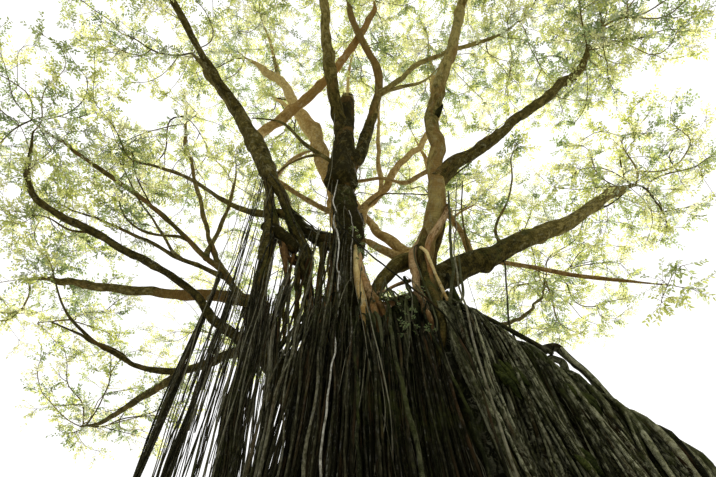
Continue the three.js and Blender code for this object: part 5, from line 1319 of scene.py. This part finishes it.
# white strands let down past the centre stem, dull where they reach the trunk
bone(front, [(-0.91, -0.95, 21.34, 0.016), (-0.95, -0.95, 20.48, 0.023), (-1.04, -1.0, 19.58, 0.029), (-0.97, -1.0, 18.82, 0.026), (-0.94, -1.0, 18.31, 0.029), (-0.78, -1.05, 17.34, 0.031), (-0.69, -1.10, 16.33, 0.026),
             (-0.70, -1.15, 15.39, 0.023), (-0.66, -1.20, 14.52, 0.018), (-0.67, -1.25, 13.9, 0.016)], 8, (0.45, 0.75, 0.4, 0.8, 0.35), 1, 161, 2.4, 0.1)
bone(front, [(-0.68, -1.2, 14.8, 0.023), (-0.66, -1.30, 13.66, 0.027), (-0.62, -2.2, 10.5, 0.023), (-0.7, -3.2, 7.5, 0.023), (-0.75, -4.2, 4.0, 0.027), (-0.8, -4.7, 0.0, 0.027)], 7, (0.85, 0.55, 0.35, 0.3), 1, 163, 1.6, 0.2)
bone(front, [(-0.41, -1.0, 18.82, 0.013), (-0.30, -1.0, 17.96, 0.018), (-0.19, -1.05, 17.15, 0.020), (-0.24, -1.10, 16.27, 0.018), (-0.20, -1.15, 15.28, 0.016), (-0.23, -1.25, 14.2, 0.013)], 8, (0.6, 0.35, 0.3), 1, 162, 2.4, 0.1)
bone(front, [(-0.22, -1.2, 14.6, 0.019), (-0.20, -1.5, 13.0, 0.021), (-0.2, -2.3, 10.8, 0.021), (-0.25, -3.3, 7.5, 0.023), (-0.3, -4.6, 0.0, 0.023)], 7, (0.45, 0.3, 0.25), 0, 164, 1.6, 0.2)
for k in range(270):     # hair-fine rootlets over the whole front
    phi0 = hr.uniform(-math.pi * 0.98, 0.05)
    z0 = hr.uniform(5, 15.0)
    z1 = max(0.0, z0 - hr.uniform(2, 9))
    trunk_root(front, hr, phi0, z0, z1, hr.uniform(0.008, 0.018), hr.uniform(0.10, 0.28), 4, 0.14, amt=0.1, tone=hr.choice([0.25, 0.6, 0.9]))
# slim roots let down from the boughs, most on the left
free = Build()
HANG_FROM = [('stem_left', 5.5, 9.0, 3), ('bough_left_low', 0.5, 3.6, 12), ('bough_left_back', 0.5, 3.4, 10), ('bough_left_up', 0.6, 4.0, 8),
             ('stem_centre', 4.0, 9.0, 12), ('stem_centre_left', 0.5, 5.0, 3), ('bough_right', 3.4, 6.0, 5), ('stem_right', 3.6, 7.0, 7),
             ('bough_left_rear', 1.0, 5.0, 5), ('bough_rear', 1.5, 6.0, 8), ('bough_rear_right', 1.5, 6.0, 8), ('bough_rear_left', 1.5, 6.0, 8)]
for nm, sa, sb, count in HANG_FROM:
    P, R, s = PATHS[nm]
    for k in range(count):
        i0 = int(np.searchsorted(s, hr.uniform(sa, sb)))
        p = P[min(i0, len(P) - 1)]
        q = p + np.array([hr.normal(0, R[i0] * 0.5), hr.normal(0, R[i0] * 0.5), -R[i0] * 0.5])
        stop = 0.0 if hr.rand() < 0.42 else hr.uniform(0.15, 0.8) * q[2]
        rad = hr.uniform(0.008, 0.020)
        hang(free, hr, (q[0], q[1]), (q[0] + hr.normal(0, 0.25), q[1] + hr.normal(0, 0.25)), float(q[2]), rad, 5, 0.22, plumb=1.0, step=0.55, z1=stop, tone=hr.choice([0.3, 0.5, 0.75]))
# two stout hanging bundles at the left, each of several roots twisted together
bundles = Build()


def on_limb(name, x):
    """the point of a limb's axis at a given x"""
    P = PATHS[name][0]
    return P[int(np.argmin(np.abs(P[:, 0] - x)))]


H1, H2 = on_limb('bough_left_up', -6.2), on_limb('bough_left_up', -5.45)
for (tx, ty, tz), (fx, fy), cnt in ((tuple(H1), (-7.05, 2.0), 10), (tuple(H2), (-6.1, 1.7), 9)):
    for k in range(cnt):
        n = 62
        z = np.linspace(tz - hr.uniform(0, 1.2), 0, n)
        h = (tz - z) / tz
        a = k / cnt * TAU + z * hr.uniform(0.25, 0.4) + hr.uniform(-0.3, 0.3)
        rr = (0.05 + 0.09 * (k % 3) / 2) * lerp(0.8, 1.3, h)
        w = np.stack([fbm(np.stack([z * 0.2, np.full(n, k * 3.0 + i * 40), np.full(n, tx)], 1), 111 + i, 2) for i in range(2)], 1) * 0.07
        P = np.column_stack([lerp(tx, fx, h) + rr * np.cos(a) + w[:, 0], lerp(ty, fy, h) + rr * np.sin(a) + w[:, 1], z])
        tube(bundles, P, hr.uniform(0.022, 0.06) * lerp(0.8, 1.2, h), 7, ref=[0.1, 1, 0], tone=hr.uniform(0.15, 0.6), relief=root_relief(k, 0.16))
# a loose vine across the front and a slim rod by the right stem
strand(front, [(-0.95, -0.9, 19.0), (-0.75, -2.2, 16.2), (0.39, -2.45, 14.1), (1.4, -2.5, 12.65), (2.4, -2.6, 11.3), (2.75, -2.9, 9.5), (2.85, -3.4, 6.0), (2.9, -4.0, 0.0)], 0.026, 0.03, 6, 0.25, 0.12, seed=14, wob=0.06)
strand(free, [(4.5, -0.9, 21.3), (4.0, -1.0, 18.4), (3.5, -1.3, 15.9), (3.15, -1.9, 13.6), (3.0, -2.6, 10.0), (3.1, -3.2, 5.0), (3.2, -3.6, 0.0)], 0.022, 0.04, 6, 0.25, 0.75, seed=15, wob=0.07)


# ---------------------------------------------------------------- crown
cr = np.random.RandomState(4242)


def scatter(c, h, seed, gap=0.92, want=185, thr=-0.22):
    """points in a mass, in clumps with open sky between, more of them toward its skin"""
    r = np.random.RandomState(seed)
    c, h = np.array(c), np.array(h)
    got = []
    d = unit(r.normal(0, 1, (2600, 3)))
    rad = 0.28 + 0.72 * r.uniform(0, 1, 2600) ** 0.6
    p = d * rad[:, None]
    p[:, 2] = np.where(p[:, 2] < 0, p[:, 2] * 0.72, p[:, 2])
    p = c + p * h * 0.97
    ok = fbm(p / 2.0, 201, 2) > thr
    p = p[ok]
    for q in p:
        if len(got) >= want:
            break
        if not got or np.min(np.sum((np.array(got) - q) ** 2, 1)) > gap * gap:
            got.append(q)
    return np.array(got)


targets, owner = [], []
names = list(MASSES)
for i, nm in enumerate(names):
    c, h = MASSES[nm]
    p = scatter(c, h, 1000 + i, want=132 if 'top' in nm else 116 if 'left' in nm else 160, thr=-0.06 if 'top' in nm or 'left' in nm else -0.2)
    targets.append(p)
    owner += [i] * len(p)
# loose growth that closes the hole between the masses behind the left stem
LOOSE = (((-5.6, 6.2, 37.2), (3.2, 3.0, 3.2)), ((-6.0, 7.5, 32.6), (2.6, 2.6, 2.4)))
for c, h in LOOSE:
    p = scatter(c, h, 77, want=55, thr=-0.2)
    near = [int(np.argmin([np.sum(((q - np.array(MASSES[m][0])) / np.array(MASSES[m][1])) ** 2) for m in names])) for q in p]
    targets.append(p)
    owner += near
# looser sprays between the masses, about the outer parts of the limbs, out to the crown's edge
fill = []
lo_ = np.min([np.array(c) - h for c, h in MASSES.values()], 0) + 0.6
hi_ = np.max([np.array(c) + h for c, h in MASSES.values()], 0) - 0.6
for nm, (P, R, s) in PATHS.items():
    if nm in ('stem_centre', 'stem_rear_left', 'stem_centre_right', 'link_low', 'link_right'):
        continue
    out_ = P[s > 0.5 * s[-1]]
    k = int(5.0 * s[-1] * 0.5) if nm in LIMBS else int(2.4 * s[-1] * 0.5)
    q = out_[cr.randint(0, len(out_), k)] + unit(cr.normal(0, 1, (k, 3))) * cr.uniform(0.7, 3.6, (k, 1)) * [1, 1, 0.8]
    fill.append(q)
fill = np.vstack(fill)
inside = np.zeros(len(fill), bool)
for c, h in MASSES.values():
    inside |= np.sum(((fill - c) / (np.array(h) * 0.97)) ** 2, 1) < 1
# the inside of the crown is open: nothing about the big stems below the leaves
open_ = (np.hypot(fill[:, 0] - 0.5, fill[:, 1] + 1.0) < 10.5) & (fill[:, 2] < 36.5)
ok = ~inside & ~open_ & np.all((fill > lo_) & (fill < hi_), 1) & (fill[:, 2] > 21.0)
fill = fill[ok]
got = []
for q in fill:
    if not got or np.min(np.sum((np.array(got) - q) ** 2, 1)) > 0.8:
        got.append(q)
    if len(got) >= 620:
        break
fill = np.array(got)
cen_ = np.array([c for c, h in MASSES.values()])
hs_ = np.array([h for c, h in MASSES.values()])
targets.append(fill)
owner += list(np.argmin(np.sum(((fill[:, None] - cen_[None]) / hs_[None]) ** 2, 2), 1))
print('fill', len(fill))
# a few sprays at the ends of the thin branches too
for nm in BRANCHES:
    if nm in ('fork_small', 'dark_b', 'link_low', 'link_right', 'dark_a', 'link_twig', 'tan_parallel', 'cross_thin', 'back_thin'):
        continue
    P, R, s = PATHS[nm]
    e = P[-1]
    near = int(np.argmin([np.sum(((e - np.array(MASSES[m][0])) / np.array(MASSES[m][1])) ** 2) for m in names]))
    k = 7 if R[0] > 0.1 else 5
    q = e + unit(cr.normal(0, 1, (k, 3))) * cr.uniform(0.5, 1.5, (k, 1)) * [1, 1, 0.7]
    targets.append(q)
    owner += [near] * k
targets = np.vstack(targets)
owner = np.array(owner)

# the limbs' outer parts carry the first branches
pos, plen, parent, lrad, who = [], [], [], [], []
for nm, (P, R, s) in PATHS.items():
    L = s[-1]
    first = 0.62 if nm in ('stem_left', 'stem_right', 'stem_tan', 'stem_centre_left', 'stem_centre_right') else 0.5
    if nm in ('stem_centre', 'stem_rear_left'):
        continue
    idx = [i for i in range(0, len(P), 5) if s[i] > first * L] + [len(P) - 1]
    prev = -1
    for i in idx:
        pos.append(P[i])
        plen.append(0.35 * (L - s[i]))       # favours the limb's end a little
        parent.append(-1)
        lrad.append(R[i])
        who.append(nm)
pos = np.array(pos)
plen = np.array(plen)
nl = len(pos)
BF = 0.28
N = len(targets)
P_all = np.vstack([pos, np.zeros((N, 3))])
plen_all = np.r_[plen, np.zeros(N)]
par = np.full(nl + N, -1)
own = np.full(nl + N, -1)
D = np.linalg.norm(targets[:, None, :] - pos[None, :, :], axis=2)
cost = D + BF * plen[None, :]
best = np.argmin(cost, 1)
bc = cost[np.arange(N), best]
alive = np.ones(N, bool)
cnt = nl
for _ in range(N):
    k = int(np.argmin(np.where(alive, bc, 1e9)))
    alive[k] = False
    P_all[cnt] = targets[k]
    par[cnt] = best[k]
    own[cnt] = owner[k]
    step = np.linalg.norm(targets[k] - P_all[best[k]])
    plen_all[cnt] = plen_all[best[k]] + step
    c = np.linalg.norm(targets - targets[k], axis=1) + BF * plen_all[cnt]
    upd = alive & (c < bc)
    best[upd] = cnt
    bc[upd] = c[upd]
    cnt += 1
# how many sprays each node feeds, and the limb each branch starts from
load = np.zeros(cnt)
load[nl:] = 1
for k in range(cnt - 1, nl - 1, -1):
    if par[k] >= 0:
        load[par[k]] += load[k]
kids = [[] for _ in range(cnt)]
for k in range(nl, cnt):
    kids[par[k]].append(k)


def branch_radius(n):
    return 0.0125 * np.asarray(n, float) ** 0.46


branches = Build()
seg_dir = np.zeros((cnt, 3))
stack = []
for k in range(nl):
    for c in kids[k]:
        stack.append((k, c))
while stack:
    a, b = stack.pop()
    chain = [a, b]
    while kids[chain[-1]]:
        ks = sorted(kids[chain[-1]], key=lambda q: -load[q])
        for q in ks[1:]:
            stack.append((chain[-1], q))
        chain.append(ks[0])
    pts = P_all[chain].copy()
    r = branch_radius(load[chain])
    r[0] = min(r[1] * 1.15, (lrad[a] * 0.8 if a < nl else r[0]))
    r = np.minimum(r, r[0])
    r[-1] = 0.009
    seg = np.r_[0, np.cumsum(np.linalg.norm(np.diff(pts, axis=0), axis=1))]
    n = max(5, int(seg[-1] / 0.42))
    u = np.linspace(0, seg[-1], n)
    Q = np.stack([np.interp(u, seg, pts[:, j]) for j in range(3)], 1)
    Q = smooth(Q, 3)
    if n > 6:
        Q = Q + 0.10 * np.minimum(1, u)[:, None] * np.stack([fbm(np.stack([u * 0.5, np.full(n, b * 1.7 + j), np.zeros(n)], 1), 131 + j, 2) for j in range(3)], 1)
    rr = np.interp(u, seg, r)
    tone = cr.uniform(0.3, 0.8)
    tube(branches, Q, rr, 7 if r[0] > 0.07 else 5 if r[0] > 0.03 else 4, tone=tone, mat=0)
    for j in range(1, len(chain)):
        i1 = int(np.argmin(np.abs(u - seg[j])))
        P_all[chain[j]] = Q[i1]
        seg_dir[chain[j]] = unit(Q[min(i1 + 1, n - 1)] - Q[max(i1 - 1, 0)])

# twigs: several at each node, spreading from the branch into a shallow fan
SECTORS = {
    'top': ['foliage_top_centre', 'foliage_top_right', 'foliage_top_left', 'foliage_top_rear', 'foliage_top_front'],
    'front': ['foliage_front_centre', 'foliage_front_right', 'foliage_front_left_low', 'foliage_left_front'],
    'right': ['foliage_right_high', 'foliage_right_low', 'foliage_right_mid', 'foliage_front_right_low'],
    'left': ['foliage_left_high', 'foliage_left_mid', 'foliage_left_low'],
    'rear': ['foliage_rear_left_high', 'foliage_rear_left_low', 'foliage_rear_right_low'],
    'back': ['foliage_left_rear_high', 'foliage_left_rear_low', 'foliage_right_rear_low', 'foliage_right_rear_high'],
}
LEAVES_PER = 11
TWIGS_PER = 5


def twig_set(idx, r):
    """base points, directions and lengths of the twigs on the nodes idx"""
    m = len(idx)
    base = np.repeat(P_all[idx], TWIGS_PER, 0)
    d0 = np.repeat(seg_dir[idx], TWIGS_PER, 0)
    back = r.uniform(0, 0.5, len(base))[:, None] * d0
    base = base - back
    rand = unit(r.normal(0, 1, (len(base), 3)))
    cen = np.array([MASSES[names[o]][0] for o in own[idx]])
    outw = np.repeat(unit(P_all[idx] - cen), TWIGS_PER, 0)
    d = unit(0.55 * d0 + 1.0 * rand * [1, 1, 0.55] + 0.35 * outw + [0, 0, 0.12])
    L = r.uniform(0.5, 1.25, len(base))
    return base, d, L


def build_twigs(build, base, d, L, r):
    """three-sided twigs that curve a little down, and the points along them"""
    m = len(base)
    side = unit(np.cross(d, [0.1, 0.2, 1.0]))
    up = np.cross(side, d)
    bend = r.uniform(-0.10, 0.10, (m, 1)) * side + r.uniform(-0.12, 0.05, (m, 1)) * up
    t = np.array([0, 1.0])
    P = base[:, None, :] + d[:, None, :] * (L[:, None] * t)[..., None] + bend[:, None, :] * (L[:, None] * t ** 2)[..., None]
    R = np.array([0.011, 0.004])
    a = np.arange(3) / 3 * TAU
    ring = side[:, None, None, :] * np.cos(a)[None, None, :, None] + up[:, None, None, :] * np.sin(a)[None, None, :, None]
    V = P[:, :, None, :] + ring * R[None, :, None, None]
    F = tube_faces(2, 3)[None] + (np.arange(m) * 6)[:, None, None]
    build.add(V.reshape(-1, 3), F.reshape(-1, 4), None, None, np.repeat(r.uniform(0.2, 0.9, m), 6), 0)
    return bend


def build_leaves(build, base, d, L, bend, tint, r, per, size=1.0):
    m = len(base)
    t = (np.arange(per) + 0.6 + r.uniform(-0.3, 0.3, (m, per))) / per
    t = 0.16 + 0.86 * np.clip(t, 0, 1)
    p = base[:, None, :] + d[:, None, :] * (L[:, None] * t)[..., None] + bend[:, None, :] * (L[:, None] * t ** 2)[..., None]
    side = unit(np.cross(d, [0.1, 0.2, 1.0]))
    sg = np.where((np.arange(per) % 2) == 0, 1.0, -1.0)[None, :] * np.sign(r.uniform(-1, 1, (m, 1)))
    spread = r.uniform(0.5, 1.25, (m, per))
    ax = d[:, None, :] * np.cos(spread)[..., None] + side[:, None, :] * (np.sin(spread) * sg)[..., None]
    ax = ax + r.normal(0, 0.22, (m, per, 3)) + np.array([0, 0, -0.22])
    ax = unit(ax).reshape(-1, 3)
    p = p.reshape(-1, 3)
    nrm = unit(np.array([0, 0, 1.0]) + r.normal(0, 0.42, (len(p), 3)))
    wd = unit(np.cross(nrm, ax))
    nn = np.cross(ax, wd)
    ln = r.uniform(0.14, 0.225, len(p)) * size
    w = ln * r.uniform(0.21, 0.27, len(p))
    st = 0.10 * ln       # stalk
    # six-point oval with a drawn-out tip, arched along its length
    k = np.array([[0.0, 0, 0.0], [0.30, 1, 0.055], [0.30, -1, 0.055], [0.68, 0.78, 0.03], [0.68, -0.78, 0.03], [1.0, 0, -0.10]])
    V = (p + ax * st[:, None])[:, None, :] + ax[:, None, :] * (ln[:, None] * k[:, 0])[..., None] \
        + wd[:, None, :] * (w[:, None] * k[:, 1])[..., None] + nn[:, None, :] * (ln[:, None] * k[:, 2])[..., None]
    T = np.array([[0, 1, 2], [1, 3, 4], [1, 4, 2], [3, 5, 4]])
    F = T[None] + (np.arange(len(p)) * 6)[:, None, None]
    build.F3.append(F.reshape(-1, 3) + build.n)
    build.m3.append(np.repeat(np.repeat(tint, per), 4).astype(np.int32))
    build.V.append(V.reshape(-1, 3))
    build.flow.append(np.zeros((len(p) * 6, 3)))
    build.tone.append(np.zeros(len(p) * 6))
    build.warm.append(np.zeros(len(p) * 6))
    build.n += len(p) * 6


SPRIGS = ((1.23, -2.1, 12.16), (1.51, -2.1, 11.63), (1.78, -2.1, 11.17), (1.29, -2.1, 10.99), (1.62, -2.2, 12.3), (0.04, -0.9, 17.22), (0.04, -0.9, 15.98), (0.3, -0.8, 16.52), (0.45, -0.8, 16.1),
          (4.47, -0.6, 21.49), (5.0, -0.5, 17.9), (-3.9, -1.0, 21.3))
share = np.cumsum([s_ for s_, _, _ in TINTS])
share = share / share[-1]
crown_pieces = []
for sec, members in SECTORS.items():
    ids = [names.index(m) for m in members]
    idx = np.array([k for k in range(nl, cnt) if own[k] in ids])
    r = np.random.RandomState(700 + len(sec) * 13 + len(idx))
    base, d, L = twig_set(idx, r)
    tw, lf = Build(), Build()
    bend = build_twigs(tw, base, d, L, r)
    # one tint per spray; half the sprays deep in a mass get the darkest tint, as painted shade, so those at its skin
    # stay paler
    cen = np.array([MASSES[names[o]][0] for o in own[idx]])
    hs = np.array([MASSES[names[o]][1] for o in own[idx]])
    q = np.clip(np.linalg.norm((P_all[idx] - cen) / hs, axis=1), 0, 1)
    pick = r.uniform(0, 1, len(idx))
    tint = np.searchsorted(share, pick)
    tint = np.where((q < 0.5) & (r.uniform(0, 1, len(idx)) < 0.5), 3, tint)
    build_leaves(lf, base, d, L, bend, np.repeat(tint, TWIGS_PER), r, LEAVES_PER)
    if sec == 'front':
        b1 = np.repeat(np.array(SPRIGS), 4, 0) + r.normal(0, 0.13, (4 * len(SPRIGS), 3))
        d1 = unit(r.normal(0, 1, b1.shape) * [1, 0.7, 0.6] + [0, -0.5, 0.35])
        L1 = r.uniform(0.15, 0.4, len(b1))
        # the sprigs all take the darkest tint: painted shade, for where they sit in the shade before the trunk
        build_leaves(lf, b1, d1, L1, build_twigs(tw, b1, d1, L1, r), np.full(len(b1), 3), r, 8, 0.42)
    crown_pieces.append((sec, members, lf, tw))
    print('crown', sec, len(idx), 'nodes', lf.tris(), 'leaf tris', tw.tris(), 'twig tris')


# ---------------------------------------------------------------- pieces
M_LIMB = [M_BOUGH, M_TAN, M_FORK]
M_R = [M_ROOT_BARK_AND_SHADE, M_HANG, M_FORK]


def piece(build, name, mats, slot, *nodes):
    ob = build.mesh(name, mats)
    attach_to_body(ob, "root")
    if nodes:
        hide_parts(*nodes)
    print('piece', name, build.tris())
    return ob


def floor_clip(build):
    for v in build.V:
        np.maximum(v[:, 2], 0.0, out=v[:, 2])


for b in (trunk, roots_front, roots_back, wall, wall_front, wall_back, wraps, column, front, free, bundles):
    floor_clip(b)
piece(boughs, 'stems_and_boughs', M_LIMB, 'bough_bark', *LIMBS.keys())
piece(trunk, 'trunk_core', M_R, 'root_bark', 'trunk')
piece(roots_front, 'trunk_roots_front', M_R, 'root_bark')
piece(roots_back, 'trunk_roots_back', M_R, 'root_bark')
piece(wall, 'wall_core', [M_WALL, M_HANG, M_FORK], 'root_bark', 'root_wall_right_1', 'root_wall_right_2', 'root_wall_right_3')
piece(wall_front, 'wall_roots_front', [M_WALL, M_HANG, M_MOSS], 'root_bark')
piece(wall_back, 'wall_roots_back', [M_WALL, M_HANG, M_FORK], 'root_bark')
piece(wraps, 'stem_roots', M_R, 'root_bark')
piece(column, 'curtain_left_roots', [M_HANG, M_FORK], 'hanging_root', 'root_curtain_left')
piece(front, 'curtain_front_roots', [M_HANG, M_PALE], 'hanging_root', 'root_curtain_front')
piece(free, 'free_hanging_roots', [M_HANG, M_HANG], 'hanging_root')
piece(bundles, 'hanging_root_bundles', [M_HANG, M_HANG], 'hanging_root', 'hanging_roots_left')
piece(branches, 'crown_branches', M_LIMB, 'bough_bark')
for sec, members, lf, tw in crown_pieces:
    piece(lf, 'leaves_' + sec, LEAF_MATS, 'foliage', *members)
    piece(tw, 'twigs_' + sec, [M_TWIG], 'bough_bark')

# ---------------------------------------------------------------- stage and light
fm, fnt, fb, fo = node_mat('floor_pale')
fb.inputs['Base Color'].default_value = (0.27, 0.27, 0.265, 1)
fb.inputs['Roughness'].default_value = 0.95
me = bpy.data.meshes.new('floor')
fr = 160.0
me.from_pydata([(fr * math.cos(a), fr * math.sin(a), -0.004) for a in np.arange(48) / 48 * TAU], [], [list(range(48))])
me.materials.append(fm)
floor = bpy.data.objects.new('floor', me)
scene.collection.objects.link(floor)

world = bpy.data.worlds.new('studio')
scene.world = world
world.use_nodes = True
wn = world.node_tree
for n in list(wn.nodes):
    wn.nodes.remove(n)
wo = wn.nodes.new('ShaderNodeOutputWorld')
bg = wn.nodes.new('ShaderNodeBackground')
tc = wn.nodes.new('ShaderNodeTexCoord')
dot = wn.nodes.new('ShaderNodeVectorMath')
dot.operation = 'DOT_PRODUCT'
dot.inputs[1].default_value = (0.10, 0.62, 0.78)
wn.links.new(tc.outputs['Generated'], dot.inputs[0])
half = math_node(wn, 'ADD', math_node(wn, 'MULTIPLY', dot.outputs['Value'], 0.5), 0.5)
wr_ = ramp(wn, half, [(0.0, (0.60, 0.61, 0.64)), (0.45, (0.80, 0.815, 0.84)), (0.9, (1.25, 1.25, 1.24))])
wr_.node.color_ramp.interpolation = 'EASE'
wn.links.new(wr_, bg.inputs['Color'])
bg.inputs['Strength'].default_value = 1.0
wn.links.new(bg.outputs[0], wo.inputs['Surface'])

sun_data = bpy.data.lights.new('sun', 'SUN')
sun_data.energy = 5.5
sun_data.angle = math.radians(3)
sun_data.color = (1.0, 0.95, 0.84)
sun = bpy.data.objects.new('sun', sun_data)
scene.collection.objects.link(sun)
sun.rotation_euler = Vector((-0.32, -0.62, -1.0)).to_track_quat('-Z', 'Y').to_euler()

scene.view_settings.view_transform = 'Standard'
scene.view_settings.look = 'None'
scene.view_settings.exposure = 0.0
